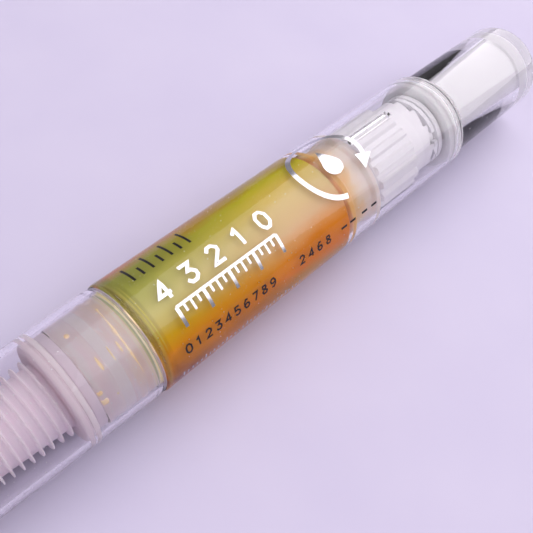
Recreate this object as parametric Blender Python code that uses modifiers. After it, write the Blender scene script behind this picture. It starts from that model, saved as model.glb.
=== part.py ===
"""Twist-up oil pen: a clear barrel of oil, a screw-driven plunger, and a brush under a clear cap.

Lengths are metres. Every piece is modelled along its own Z, which is the axis of the pen. Zero is the
shoulder where the lip of the cap meets the barrel, minus is the cap's side and plus is the knob's side.
Empties then lay that axis along world X, with one facet of the barrel flat on the ground.
"""

import math

import bmesh
import bpy
from mathutils import Matrix, Vector

# Fits
FIT_GAP = 0.0003
CUT_OVERRUN = 0.0005
SINK = 0.0001
EDGE_BREAK = 0.0002
MERGE_REACH = 0.000001

# Facets of a full turn
OUTER_FACETS = 30
INNER_FACETS = 24
SMALL_FACETS = 18

# Barrel
BARREL_OD = 0.0140
BARREL_WALL = 0.0009
BARREL_LENGTH = 0.0530
SHOULDER_THICKNESS = 0.0010
SHOULDER_CONE = 0.0007
NECK_WALL = 0.0009
NECK_LENGTH = 0.0069
NECK_BEAD_HEIGHT = 0.00015
NECK_BEAD_WIDTH = 0.0009
NECK_BEAD_FROM_SHOULDER = 0.0024
KEY_COUNT = 3
KEY_WIDTH = 0.0004
KEY_HEIGHT = 0.00045
COLLAR_GROOVE_DEPTH = 0.0003
COLLAR_GROOVE_WIDTH = 0.0012

# Cap
CAP_LENGTH = 0.0462
CAP_WALL = 0.0008
CAP_END_WALL = 0.0012
CAP_END_ROUND = 0.0014
CAP_STEP_FROM_BARREL = 0.00007
CAP_DRAFT_SHARE = 0.0195
CAP_ARC_STEPS = 4

# Brush holder, from the barrel's mouth outward
PLUG_INSIDE_BARREL = 0.0006
PLUG_RIB_HEIGHT = 0.00025
PLUG_RIB_WIDTH = 0.0007
PLUG_CAVITY_WALL = 0.0011
PLUG_CAVITY_DEPTH = 0.0062
SEAL_CORD = 0.0008
SEAL_FROM_NECK_END = 0.0030
GASKET_THICKNESS = 0.0006
GASKET_WIDTH = 0.0010
FLANGE_THICKNESS = 0.0015
FIN_COUNT = 11
FIN_PITCH = 0.00107
FIN_THICKNESS = 0.00042
FIN_FLANK = 0.00012
FIN_DEPTH = 0.00080
FINS_OD_AT_FLANGE = 0.0092
FINS_OD_AT_NOSE = 0.0080
NOSE_LENGTH = 0.0060
NOSE_TIP_OD = 0.0048
TUFT_BORE_DEPTH = 0.0055
TUFT_BORE = 0.0036

# Brush and its feed tube
ROOT_THICKNESS = 0.0015
TUFT_LENGTH = 0.0150
TUFT_STRANDS = 300
STRAND_WIDTH = 0.00011
TUFT_CONVERGENCE_SHARE = 0.72
OUTER_STRAND_LENGTH_SHARE = 0.80
FEED_TUBE_OD = 0.0009
FEED_TUBE_WALL = 0.0002
FEED_TUBE_IN_HOLDER = 0.0060
FEED_TUBE_IN_TUFT = 0.0052

# Plunger and screw rod
PLUNGER_LENGTH = 0.0064
PLUNGER_LIP_WIDTH = 0.0009
PLUNGER_LIP_HEIGHT = 0.0006
PLUNGER_DISH = 0.0008
PLUNGER_DISH_SHARE = 0.62
ROD_FLAT_DEPTH = 0.0005
ROD_BALL_SHARE = 0.66
ROD_NECK_SHARE = 0.48
ROD_TAIL_CLEARANCE = 0.0003
BALL_ARC_STEPS = 6

# Guide nut
NUT_RIBBED_LENGTH = 0.0077
NUT_THREAD_LENGTH = 0.0038
NUT_RIB_COUNT = 18
NUT_RIB_WIDTH = 0.0009
NUT_RIB_HEIGHT = 0.00045
NUT_CONE_LENGTH = 0.0022
NUT_SKIRT_LENGTH = 0.0042
NUT_SKIRT_SHARE = 0.82
NUT_SKIRT_BORE_SHARE = 0.80
CROWN_TEETH = 12
CROWN_DEPTH = 0.0007
CROWN_NOTCH_SHARE = 0.98

# Knob core, its ratchet ring and the collar that keeps it in
DRIVE_TUBE_BORE_SHARE = 0.757
DRIVE_KEYED_LENGTH = 0.0060
CORE_FLANGE_THICKNESS = 0.0008
CORE_END_WALL = 0.0007
CORE_GROOVE_DEPTH = 0.0005
PAWL_COUNT = 3
PAWL_RING_THICKNESS = 0.0006
PAWL_HUB_SHARE = 0.35
PAWL_SLOT_SHARE = 0.20
PAWL_SWEEP = math.radians(78)
PAWL_RELIEF = math.radians(14)
PAWL_LUG_WIDTH = 0.0008
COLLAR_LENGTH = 0.0026
COLLAR_WALL = 0.0015

# Knob shell
KNOB_STEP_FROM_BARREL = 0.00065
KNOB_WALL = 0.00135
KNOB_END_WALL = 0.0019
KNOB_LENGTH = 0.0199
KNOB_END_ROUND = 0.0011
KNOB_ARC_STEPS = 4

# Worked out from the sizes above: radii
BARREL_R = BARREL_OD / 2
BORE_R = BARREL_R - BARREL_WALL
CAP_LIP_R = BARREL_R - CAP_STEP_FROM_BARREL


def cap_outer_r(depth):
    """Radius of the cap's outside at this depth from its lip."""
    return CAP_LIP_R - depth * CAP_DRAFT_SHARE


def cap_bore_r(depth):
    """Radius of the cap's bore at this depth from its lip."""
    return cap_outer_r(depth) - CAP_WALL


NECK_CREST_R = cap_bore_r(NECK_BEAD_FROM_SHOULDER) - FIT_GAP
NECK_R = NECK_CREST_R - NECK_BEAD_HEIGHT
NECK_BORE_R = NECK_R - NECK_WALL
PLUG_CREST_R = NECK_BORE_R - FIT_GAP
PLUG_R = PLUG_CREST_R - PLUG_RIB_HEIGHT
SEAL_GROOVE_R = PLUG_CREST_R - SEAL_CORD - FIT_GAP
PLUNGER_CREST_R = BORE_R - FIT_GAP
PLUNGER_CORE_R = PLUNGER_CREST_R - PLUNGER_LIP_HEIGHT
PLUNGER_DISH_R = PLUNGER_CORE_R * PLUNGER_DISH_SHARE
SKIRT_R = BORE_R * NUT_SKIRT_SHARE
SKIRT_BORE_R = SKIRT_R * NUT_SKIRT_BORE_SHARE
DRIVE_TUBE_R = SKIRT_BORE_R - FIT_GAP
ROD_HOLE_R = DRIVE_TUBE_R * DRIVE_TUBE_BORE_SHARE
ROD_R = ROD_HOLE_R - FIT_GAP
ROD_FLAT_R = ROD_R - ROD_FLAT_DEPTH
ROD_BALL_R = ROD_R * ROD_BALL_SHARE
ROD_NECK_R = ROD_R * ROD_NECK_SHARE
NUT_CREST_R = BORE_R - FIT_GAP
NUT_ROOT_R = NUT_CREST_R - NUT_RIB_HEIGHT
COLLAR_R = BORE_R - FIT_GAP
SHAFT_R = COLLAR_R - COLLAR_WALL - FIT_GAP
KNOB_R = BARREL_R - KNOB_STEP_FROM_BARREL
KNOB_BORE_R = KNOB_R - KNOB_WALL
CORE_R = KNOB_BORE_R - FIT_GAP
FEED_TUBE_R = FEED_TUBE_OD / 2
FEED_HOLE_R = FEED_TUBE_R + FIT_GAP
TUFT_BORE_R = TUFT_BORE / 2
TUFT_R = TUFT_BORE_R - FIT_GAP

# Worked out from the sizes above: places along the axis
CAP_LIP = -FIT_GAP
CAP_END = CAP_LIP - CAP_LENGTH
NECK_END = -NECK_LENGTH
GASKET_FRONT = NECK_END - FIT_GAP - GASKET_THICKNESS
FLANGE_FRONT = GASKET_FRONT - FIT_GAP - FLANGE_THICKNESS
FLANGE_R = cap_bore_r(-FLANGE_FRONT) - FIT_GAP
FINS_FRONT = FLANGE_FRONT - FIN_COUNT * FIN_PITCH
NOSE_TIP = FINS_FRONT - NOSE_LENGTH
TUFT_BORE_END = NOSE_TIP + TUFT_BORE_DEPTH
ROOT_FRONT = TUFT_BORE_END - FIT_GAP - ROOT_THICKNESS
TUFT_TIP = ROOT_FRONT - TUFT_LENGTH
COLLAR_FRONT = BARREL_LENGTH - COLLAR_LENGTH
CORE_FLANGE_FRONT = COLLAR_FRONT - FIT_GAP - CORE_FLANGE_THICKNESS
PAWL_RING_FRONT = CORE_FLANGE_FRONT - FIT_GAP - PAWL_RING_THICKNESS
CROWN_TIPS = PAWL_RING_FRONT - FIT_GAP
NUT_STEP = CROWN_TIPS - NUT_SKIRT_LENGTH
NUT_FRONT = NUT_STEP - NUT_RIBBED_LENGTH
NUT_CAVITY = NUT_FRONT + NUT_THREAD_LENGTH
PLUNGER_REAR = NUT_FRONT - FIT_GAP
PLUNGER_FRONT = PLUNGER_REAR - PLUNGER_LENGTH
DRIVE_TUBE_FRONT = NUT_CAVITY + FIT_GAP
KNOB_FRONT = BARREL_LENGTH + FIT_GAP
KNOB_END = KNOB_FRONT + KNOB_LENGTH
CORE_END = KNOB_END - KNOB_END_WALL - FIT_GAP
CORE_BORE_END = CORE_END - CORE_END_WALL
ROD_TAIL = CORE_BORE_END - ROD_TAIL_CLEARANCE
BALL_PLACE = NUT_FRONT - 2 * ROD_BALL_R

# Where the pen lies
PEN_MIDDLE = (CAP_END + KNOB_END) / 2
AXIS_HEIGHT = BARREL_R * math.cos(math.pi / OUTER_FACETS)
SHARP_ANGLE = math.radians(32)


def clear_scene():
    for obj in list(bpy.data.objects):
        bpy.data.objects.remove(obj)


def new_collection(name, cutters=False):
    collection = bpy.data.collections.new(name)
    collection.hide_render = cutters
    bpy.context.scene.collection.children.link(collection)
    return collection


def plastic(name, color, roughness, transmission=0.0, ior=1.5):
    material = bpy.data.materials.new(name)
    material.use_nodes = True
    material.diffuse_color = (*color, 1.0)
    shader = material.node_tree.nodes["Principled BSDF"]
    shader.inputs["Base Color"].default_value = (*color, 1.0)
    shader.inputs["Roughness"].default_value = roughness
    shader.inputs["Metallic"].default_value = 0.0
    shader.inputs["Transmission Weight"].default_value = transmission
    shader.inputs["IOR"].default_value = ior
    return material


def body_empty(name, parent=None):
    """An empty on the axis of the pen. The first one lays the axis down, the others follow it."""
    empty = bpy.data.objects.new(name, None)
    parts.objects.link(empty)
    if parent is None:
        empty.location = (-PEN_MIDDLE, 0, AXIS_HEIGHT)
        empty.rotation_euler = (0, math.pi / 2, 0)
    else:
        empty.parent = parent
    return empty


def link(obj, collection, parent):
    collection.objects.link(obj)
    obj.parent = parent
    if collection is cutters:
        obj.hide_render = True
        obj.display_type = "WIRE"
    return obj


def bake(obj):
    """Makes the piece's modifiers part of its mesh, smooth but for its edges."""
    bpy.context.view_layer.update()
    graph = bpy.context.evaluated_depsgraph_get()
    mesh = bpy.data.meshes.new_from_object(obj.evaluated_get(graph))
    mesh.name = obj.name
    obj.modifiers.clear()
    obj.data = mesh
    mesh.shade_smooth()
    mesh.set_sharp_from_angle(angle=SHARP_ANGLE)
    return obj


def turned(name, outline, facets, collection, parent, ring=True):
    """A turned piece. The outline holds (z, r) points, along its outside from the cap's side to the knob's.

    A ring's outline comes back along its bore and closes. Any other starts and ends on the axis,
    and takes in the bore of a piece that is closed at one end.
    The first facet is centred on local X, which is down once the pen lies.
    """
    half_step = math.pi / facets
    points = [(r * math.cos(half_step), r * math.sin(half_step), z) for z, r in reversed(outline)]
    edges = [(i, i + 1) for i in range(len(points) - 1)]
    if ring:
        edges.append((len(points) - 1, 0))
    mesh = bpy.data.meshes.new(name)
    mesh.from_pydata(points, edges, [])
    obj = link(bpy.data.objects.new(name, mesh), collection, parent)
    screw = obj.modifiers.new("Turn", "SCREW")
    screw.axis = "Z"
    screw.angle = 2 * math.pi
    screw.steps = facets
    screw.render_steps = facets
    screw.use_merge_vertices = True
    screw.merge_threshold = MERGE_REACH
    weld = obj.modifiers.new("Close", "WELD")
    weld.merge_threshold = MERGE_REACH
    return bake(obj)


def prism(name, outline, depth_axis, collection, parent, places):
    """A flat outline made thick, once for each place, as one object.

    The outline's points are full 3D positions, and depth_axis is the vector that it is pushed along.
    """
    mesh = bpy.data.meshes.new(name)
    work = bmesh.new()
    for place in places:
        corners = [work.verts.new(place @ Vector(point)) for point in outline]
        face = work.faces.new(corners)
        grown = bmesh.ops.extrude_face_region(work, geom=[face])
        moved = [item for item in grown["geom"] if isinstance(item, bmesh.types.BMVert)]
        push = place.to_3x3() @ Vector(depth_axis)
        bmesh.ops.translate(work, verts=moved, vec=push)
    bmesh.ops.recalc_face_normals(work, faces=work.faces)
    work.to_mesh(mesh)
    work.free()
    return link(bpy.data.objects.new(name, mesh), collection, parent)


def around(count, start=0.0):
    """Turns about the axis of the pen, evenly spaced."""
    return [Matrix.Rotation(start + 2 * math.pi * i / count, 4, "Z") for i in range(count)]


def radial_blocks(name, inner, outer, width, low, high, collection, parent, places):
    """Blocks that stand along the radius, one for each place."""
    middle = Matrix.Translation(((inner + outer) / 2, 0, (low + high) / 2))
    size = Matrix.Diagonal((outer - inner, width, high - low, 1))
    mesh = bpy.data.meshes.new(name)
    work = bmesh.new()
    for place in places:
        bmesh.ops.create_cube(work, size=1, matrix=place @ middle @ size)
    work.to_mesh(mesh)
    work.free()
    return link(bpy.data.objects.new(name, mesh), collection, parent)


def arc_bands(name, inner, outer, sweep, low, high, collection, parent, places):
    """Flat bands that follow an arc, one for each place, from that place's angle on."""
    steps = INNER_FACETS
    angles = [sweep * i / steps for i in range(steps + 1)]
    outline = [(outer * math.cos(a), outer * math.sin(a), low) for a in angles]
    outline += [(inner * math.cos(a), inner * math.sin(a), low) for a in reversed(angles)]
    return prism(name, outline, (0, 0, high - low), collection, parent, places)


def boolean(obj, other, operation):
    step = obj.modifiers.new(other.name, "BOOLEAN")
    step.operation = operation
    step.solver = "EXACT"
    step.object = other


def cut(obj, *others):
    for other in others:
        boolean(obj, other, "DIFFERENCE")
    return bake(obj)


def fuse(obj, *others):
    for other in others:
        boolean(obj, other, "UNION")
    return bake(obj)


def rounded_end(end, radius, corner, steps, inward):
    """(z, r) points of a rounded outer corner, from the flat end face to the side.

    inward is the direction along the axis from the end face into the piece, 1 or -1.
    """
    centre = end + inward * corner
    turns = [math.pi / 2 * i / steps for i in range(steps + 1)]
    return [(centre - inward * corner * math.cos(t), radius - corner + corner * math.sin(t)) for t in turns]


def make_barrel(parent):
    bead_from = -NECK_BEAD_FROM_SHOULDER + NECK_BEAD_WIDTH / 2
    bead_to = -NECK_BEAD_FROM_SHOULDER - NECK_BEAD_WIDTH / 2
    groove_middle = COLLAR_FRONT + COLLAR_LENGTH / 2
    groove_from = groove_middle - COLLAR_GROOVE_WIDTH / 2
    groove_to = groove_middle + COLLAR_GROOVE_WIDTH / 2
    outline = [
        (NECK_END, NECK_BORE_R),
        (NECK_END, NECK_R - EDGE_BREAK),
        (NECK_END + EDGE_BREAK, NECK_R),
        (bead_to, NECK_R),
        (bead_to + NECK_BEAD_HEIGHT, NECK_CREST_R),
        (bead_from - NECK_BEAD_HEIGHT, NECK_CREST_R),
        (bead_from, NECK_R),
        (0, NECK_R),
        (0, BARREL_R - EDGE_BREAK),
        (EDGE_BREAK, BARREL_R),
        (BARREL_LENGTH - EDGE_BREAK, BARREL_R),
        (BARREL_LENGTH, BARREL_R - EDGE_BREAK),
        (BARREL_LENGTH, BORE_R),
        (groove_to, BORE_R),
        (groove_to - COLLAR_GROOVE_DEPTH, BORE_R + COLLAR_GROOVE_DEPTH),
        (groove_from + COLLAR_GROOVE_DEPTH, BORE_R + COLLAR_GROOVE_DEPTH),
        (groove_from, BORE_R),
        (SHOULDER_THICKNESS + SHOULDER_CONE, BORE_R),
        (SHOULDER_THICKNESS, BORE_R - SHOULDER_CONE),
        (SHOULDER_THICKNESS, NECK_BORE_R),
    ]
    barrel = turned("barrel_tube", outline, OUTER_FACETS, parts, parent)
    keys = radial_blocks(
        "barrel_keys",
        BORE_R - KEY_HEIGHT,
        BORE_R + BARREL_WALL / 2,
        KEY_WIDTH,
        NUT_FRONT,
        NUT_STEP,
        cutters,
        parent,
        around(KEY_COUNT, math.pi / NUT_RIB_COUNT),
    )
    return fuse(barrel, keys)


def make_oil(parent):
    mouth = PLUG_INSIDE_BARREL + FIT_GAP
    cone_rear = SHOULDER_THICKNESS + SHOULDER_CONE + FIT_GAP
    rear = PLUNGER_FRONT - FIT_GAP
    oil_r = BORE_R - FIT_GAP
    outline = [
        (mouth, 0),
        (mouth, PLUG_CREST_R),
        (SHOULDER_THICKNESS + FIT_GAP, PLUG_CREST_R),
        (SHOULDER_THICKNESS + FIT_GAP, oil_r - SHOULDER_CONE),
        (cone_rear, oil_r),
        (rear, oil_r),
        (rear, PLUNGER_DISH_R),
        (rear + PLUNGER_DISH, 0),
    ]
    return turned("oil_fill", outline, INNER_FACETS, parts, parent, ring=False)


def make_cap(parent):
    lip_bore = cap_bore_r(0)
    inner_end = CAP_END + CAP_END_WALL
    outer_end_r = cap_outer_r(CAP_LENGTH)
    inner_end_r = cap_bore_r(CAP_LENGTH)
    outline = [(CAP_END, 0)]
    outline += rounded_end(CAP_END, outer_end_r, CAP_END_ROUND, CAP_ARC_STEPS, 1)
    outline += [
        (CAP_LIP - EDGE_BREAK, CAP_LIP_R),
        (CAP_LIP, CAP_LIP_R - EDGE_BREAK),
        (CAP_LIP, lip_bore + EDGE_BREAK),
        (CAP_LIP - EDGE_BREAK, lip_bore),
        (inner_end + EDGE_BREAK, inner_end_r),
        (inner_end, inner_end_r - EDGE_BREAK),
        (inner_end, 0),
    ]
    return turned("cap_shell", outline, OUTER_FACETS, parts, parent, ring=False)


def plug_rib(middle):
    """(z, r) points of one sealing rib of the plug, from the cap's side to the knob's."""
    half = PLUG_RIB_WIDTH / 2
    return [
        (middle - half, PLUG_R),
        (middle - half + PLUG_RIB_HEIGHT, PLUG_CREST_R),
        (middle + half - PLUG_RIB_HEIGHT, PLUG_CREST_R),
        (middle + half, PLUG_R),
    ]


def fin_outline():
    """(z, r) points of the fins and the valleys between them, from the nose to the flange."""
    points = []
    fins_length = FIN_COUNT * FIN_PITCH
    for i in range(FIN_COUNT):
        start = FINS_FRONT + i * FIN_PITCH
        along = (i + 0.5) * FIN_PITCH / fins_length
        crest = (FINS_OD_AT_NOSE + (FINS_OD_AT_FLANGE - FINS_OD_AT_NOSE) * along) / 2
        root = crest - FIN_DEPTH
        points += [
            (start, root),
            (start + FIN_FLANK, crest),
            (start + FIN_FLANK + FIN_THICKNESS, crest),
            (start + FIN_FLANK + FIN_THICKNESS + FIN_FLANK, root),
        ]
    points.append((FLANGE_FRONT, FINS_OD_AT_FLANGE / 2 - FIN_DEPTH))
    return points


def make_holder(parent):
    groove_middle = NECK_END + SEAL_FROM_NECK_END
    groove_half = SEAL_CORD / 2 + FIT_GAP
    flange_rear = FLANGE_FRONT + FLANGE_THICKNESS
    rib_places = (groove_middle - SEAL_FROM_NECK_END / 2, groove_middle + SEAL_FROM_NECK_END / 2)
    cavity_r = PLUG_R - PLUG_CAVITY_WALL
    cavity_end = PLUG_INSIDE_BARREL - PLUG_CAVITY_DEPTH
    outline = [
        (NOSE_TIP, TUFT_BORE_R),
        (NOSE_TIP, NOSE_TIP_OD / 2 - EDGE_BREAK),
        (NOSE_TIP + EDGE_BREAK, NOSE_TIP_OD / 2),
    ]
    outline += fin_outline()
    outline += [
        (FLANGE_FRONT, FLANGE_R - EDGE_BREAK),
        (FLANGE_FRONT + EDGE_BREAK, FLANGE_R),
        (flange_rear, FLANGE_R),
        (flange_rear, PLUG_R),
    ]
    outline += plug_rib(rib_places[0])
    outline += [
        (groove_middle - groove_half, PLUG_R),
        (groove_middle - groove_half, SEAL_GROOVE_R),
        (groove_middle + groove_half, SEAL_GROOVE_R),
        (groove_middle + groove_half, PLUG_R),
    ]
    outline += plug_rib(rib_places[1])
    outline += [
        (PLUG_INSIDE_BARREL - EDGE_BREAK, PLUG_R),
        (PLUG_INSIDE_BARREL, PLUG_R - EDGE_BREAK),
        (PLUG_INSIDE_BARREL, cavity_r),
        (cavity_end, cavity_r),
        (cavity_end, FEED_HOLE_R),
        (TUFT_BORE_END, FEED_HOLE_R),
        (TUFT_BORE_END, TUFT_BORE_R),
    ]
    return turned("brush_holder", outline, INNER_FACETS, parts, parent)


def make_seal(parent):
    """A round cord ring in the plug's groove."""
    middle_r = PLUG_CREST_R - SEAL_CORD / 2
    middle_z = NECK_END + SEAL_FROM_NECK_END
    sides = 8
    turns = [math.pi - 2 * math.pi * i / sides for i in range(sides)]
    outline = [
        (middle_z + SEAL_CORD / 2 * math.cos(t), middle_r + SEAL_CORD / 2 * math.sin(t)) for t in turns
    ]
    return turned("holder_seal_ring", outline, INNER_FACETS, parts, parent)


def make_gasket(parent):
    rear = GASKET_FRONT + GASKET_THICKNESS
    outline = [
        (GASKET_FRONT, FLANGE_R - GASKET_WIDTH),
        (GASKET_FRONT, FLANGE_R),
        (rear, FLANGE_R),
        (rear, FLANGE_R - GASKET_WIDTH),
    ]
    return turned("neck_gasket", outline, INNER_FACETS, parts, parent)


def make_feed_tube(parent):
    front = ROOT_FRONT - FEED_TUBE_IN_TUFT
    rear = TUFT_BORE_END + FEED_TUBE_IN_HOLDER
    bore = FEED_TUBE_R - FEED_TUBE_WALL
    outline = [(front, bore), (front, FEED_TUBE_R), (rear, FEED_TUBE_R), (rear, bore)]
    return turned("feed_tube", outline, SMALL_FACETS, parts, parent)


def make_strands(parent):
    """The bristles, each a three-sided spike that leans in to the tip of the brush.

    They stand on a sunflower's spiral, and all close in by the same share at the same height,
    so that no two of them cross.
    """
    golden = math.pi * (3 - math.sqrt(5))
    first_r = FEED_HOLE_R + STRAND_WIDTH
    last_r = TUFT_R - STRAND_WIDTH
    foot_z = ROOT_FRONT + SINK
    work = bmesh.new()
    for i in range(TUFT_STRANDS):
        outward = (i + 0.5) / TUFT_STRANDS
        root_r = math.sqrt(first_r**2 + (last_r**2 - first_r**2) * outward)
        length = TUFT_LENGTH * (1 - (1 - OUTER_STRAND_LENGTH_SHARE) * outward)
        tip_r = root_r * (1 - TUFT_CONVERGENCE_SHARE * length / TUFT_LENGTH)
        turn = Matrix.Rotation(i * golden, 4, "Z")
        foot = turn @ Vector((root_r, 0, foot_z))
        tip = turn @ Vector((tip_r, 0, ROOT_FRONT - length))
        lean = (tip - foot).to_track_quat("Z", "Y").to_matrix().to_4x4()
        bmesh.ops.create_cone(
            work,
            cap_ends=True,
            segments=3,
            radius1=STRAND_WIDTH / 2,
            radius2=0,
            depth=(tip - foot).length,
            matrix=Matrix.Translation((foot + tip) / 2) @ lean,
        )
    mesh = bpy.data.meshes.new("bristle_strands")
    work.to_mesh(mesh)
    work.free()
    return link(bpy.data.objects.new("bristle_strands", mesh), cutters, parent)


def make_tuft(parent):
    rear = ROOT_FRONT + ROOT_THICKNESS
    outline = [(ROOT_FRONT, FEED_HOLE_R), (ROOT_FRONT, TUFT_R), (rear, TUFT_R), (rear, FEED_HOLE_R)]
    root = turned("bristle_tuft", outline, SMALL_FACETS, parts, parent)
    return fuse(root, make_strands(parent))


def lip(middle, core, crest):
    """(z, r) points of one lip of the plunger, from the cap's side to the knob's."""
    half = PLUNGER_LIP_WIDTH / 2
    flank = PLUNGER_LIP_WIDTH / 4
    return [(middle - half, core), (middle - flank, crest), (middle + flank, crest), (middle + half, core)]


def make_plunger(parent):
    ball_room = ROD_BALL_R + FIT_GAP
    neck_room = ROD_NECK_R + FIT_GAP
    mouth = PLUNGER_REAR - PLUNGER_LIP_WIDTH
    outline = [
        (PLUNGER_FRONT + PLUNGER_DISH, 0),
        (PLUNGER_FRONT, PLUNGER_DISH_R),
        (PLUNGER_FRONT, PLUNGER_CORE_R - EDGE_BREAK),
    ]
    outline += lip(PLUNGER_FRONT + PLUNGER_LIP_WIDTH, PLUNGER_CORE_R, PLUNGER_CREST_R)
    outline += lip(PLUNGER_REAR - PLUNGER_LIP_WIDTH, PLUNGER_CORE_R, PLUNGER_CREST_R)
    outline += [
        (PLUNGER_REAR, PLUNGER_CORE_R - EDGE_BREAK),
        (PLUNGER_REAR, neck_room),
        (mouth, neck_room),
        (mouth, ball_room),
        (BALL_PLACE - ball_room, ball_room),
        (BALL_PLACE - ball_room, 0),
    ]
    return turned("plunger", outline, INNER_FACETS, parts, parent, ring=False)


def make_rod(parent):
    """The screw rod: a ball that snaps into the plunger, a neck, and a shaft with two flats."""
    neck_meets_ball = math.asin(ROD_NECK_R / ROD_BALL_R)
    sweep = math.pi - neck_meets_ball
    turns = [sweep * i / BALL_ARC_STEPS for i in range(BALL_ARC_STEPS + 1)]
    shaft_front = NUT_FRONT
    outline = [(BALL_PLACE - ROD_BALL_R * math.cos(t), ROD_BALL_R * math.sin(t)) for t in turns]
    outline += [
        (shaft_front, ROD_NECK_R),
        (shaft_front, ROD_R - EDGE_BREAK),
        (shaft_front + EDGE_BREAK, ROD_R),
        (ROD_TAIL - EDGE_BREAK, ROD_R),
        (ROD_TAIL, ROD_R - EDGE_BREAK),
        (ROD_TAIL, 0),
    ]
    rod = turned("screw_rod", outline, INNER_FACETS, parts, parent, ring=False)
    sides = radial_blocks(
        "rod_flats",
        ROD_FLAT_R,
        ROD_R + CUT_OVERRUN,
        2 * ROD_R,
        shaft_front - CUT_OVERRUN,
        ROD_TAIL + CUT_OVERRUN,
        cutters,
        parent,
        around(2),
    )
    return cut(rod, sides)


def notch_width():
    """Width of a ratchet notch, as a share of what keeps it clear of the next one at the crown's bore."""
    return (SKIRT_BORE_R - FIT_GAP) * math.tan(2 * math.pi / CROWN_TEETH) * CROWN_NOTCH_SHARE


def crown_notch():
    """The outline of a ratchet notch, at local X: a steep face, and a ramp up to the crown's tips."""
    width = notch_width()
    steep_top = (SKIRT_BORE_R - FIT_GAP, 0, CROWN_TIPS + CUT_OVERRUN)
    steep_foot = (SKIRT_BORE_R - FIT_GAP, 0, CROWN_TIPS - CROWN_DEPTH)
    ramp_top = (SKIRT_BORE_R - FIT_GAP, width, CROWN_TIPS)
    ramp_over = (SKIRT_BORE_R - FIT_GAP, width, CROWN_TIPS + CUT_OVERRUN)
    return [steep_top, steep_foot, ramp_top, ramp_over]


def pawl_tooth(inner):
    """The outline of a pawl's tooth, which lies in a notch with a gap to its face and ramp."""
    rise = CROWN_DEPTH / notch_width()
    foot = CROWN_TIPS - CROWN_DEPTH + FIT_GAP + FIT_GAP * rise
    base = PAWL_RING_FRONT + SINK
    ramp_end = FIT_GAP + (base - foot) / rise
    return [(inner, FIT_GAP, base), (inner, FIT_GAP, foot), (inner, ramp_end, base)]


def make_nut(parent):
    """The guide nut: ribs that lock it in the barrel, a skirt round the drive tube, a crown of teeth."""
    outline = [
        (NUT_FRONT, ROD_HOLE_R),
        (NUT_FRONT, NUT_ROOT_R - EDGE_BREAK),
        (NUT_FRONT + EDGE_BREAK, NUT_ROOT_R),
        (NUT_STEP, NUT_ROOT_R),
        (NUT_STEP + NUT_CONE_LENGTH, SKIRT_R),
        (CROWN_TIPS, SKIRT_R),
        (CROWN_TIPS, SKIRT_BORE_R),
        (NUT_CAVITY, SKIRT_BORE_R),
        (NUT_CAVITY, ROD_HOLE_R),
    ]
    nut = turned("guide_nut", outline, INNER_FACETS, parts, parent)
    ribs = radial_blocks(
        "nut_ribs",
        NUT_ROOT_R - NUT_RIB_HEIGHT,
        NUT_CREST_R,
        NUT_RIB_WIDTH,
        NUT_FRONT + EDGE_BREAK,
        NUT_STEP - EDGE_BREAK,
        cutters,
        parent,
        around(NUT_RIB_COUNT),
    )
    reach = (SKIRT_R - SKIRT_BORE_R + FIT_GAP + CUT_OVERRUN, 0, 0)
    notches = prism("crown_notches", crown_notch(), reach, cutters, parent, around(CROWN_TEETH))
    fuse(nut, ribs)
    return cut(nut, notches)


def make_ratchet_ring(parent):
    """The ring of spring pawls. Its hub is keyed to the drive tube and its arms click on the crown."""
    inner = SKIRT_BORE_R
    rear = PAWL_RING_FRONT + PAWL_RING_THICKNESS
    band = SKIRT_R - inner
    slot_inner = inner + band * PAWL_HUB_SHARE
    slot_outer = slot_inner + band * PAWL_SLOT_SHARE
    outline = [(PAWL_RING_FRONT, inner), (PAWL_RING_FRONT, SKIRT_R), (rear, SKIRT_R), (rear, inner)]
    ring = turned("ratchet_ring", outline, INNER_FACETS, parts, parent)
    low = PAWL_RING_FRONT - CUT_OVERRUN
    high = rear + CUT_OVERRUN
    turns_back = around(PAWL_COUNT, -PAWL_RELIEF)
    slots = arc_bands(
        "pawl_slots",
        slot_inner,
        slot_outer,
        PAWL_SWEEP,
        low,
        high,
        cutters,
        parent,
        turns_back,
    )
    ends = arc_bands(
        "pawl_ends",
        (slot_inner + slot_outer) / 2,
        SKIRT_R + CUT_OVERRUN,
        PAWL_RELIEF,
        low,
        high,
        cutters,
        parent,
        turns_back,
    )
    cut(ring, slots, ends)
    tooth_inner = slot_outer + SINK
    reach = (SKIRT_R - SINK - tooth_inner, 0, 0)
    teeth = prism("pawl_teeth", pawl_tooth(tooth_inner), reach, cutters, parent, around(PAWL_COUNT))
    lugs = radial_blocks(
        "hub_lugs",
        DRIVE_TUBE_R - CORE_GROOVE_DEPTH + FIT_GAP,
        inner + band * PAWL_HUB_SHARE / 2,
        PAWL_LUG_WIDTH,
        PAWL_RING_FRONT + SINK,
        rear - SINK,
        cutters,
        parent,
        around(PAWL_COUNT, math.pi / PAWL_COUNT),
    )
    return fuse(ring, teeth, lugs)


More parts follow.
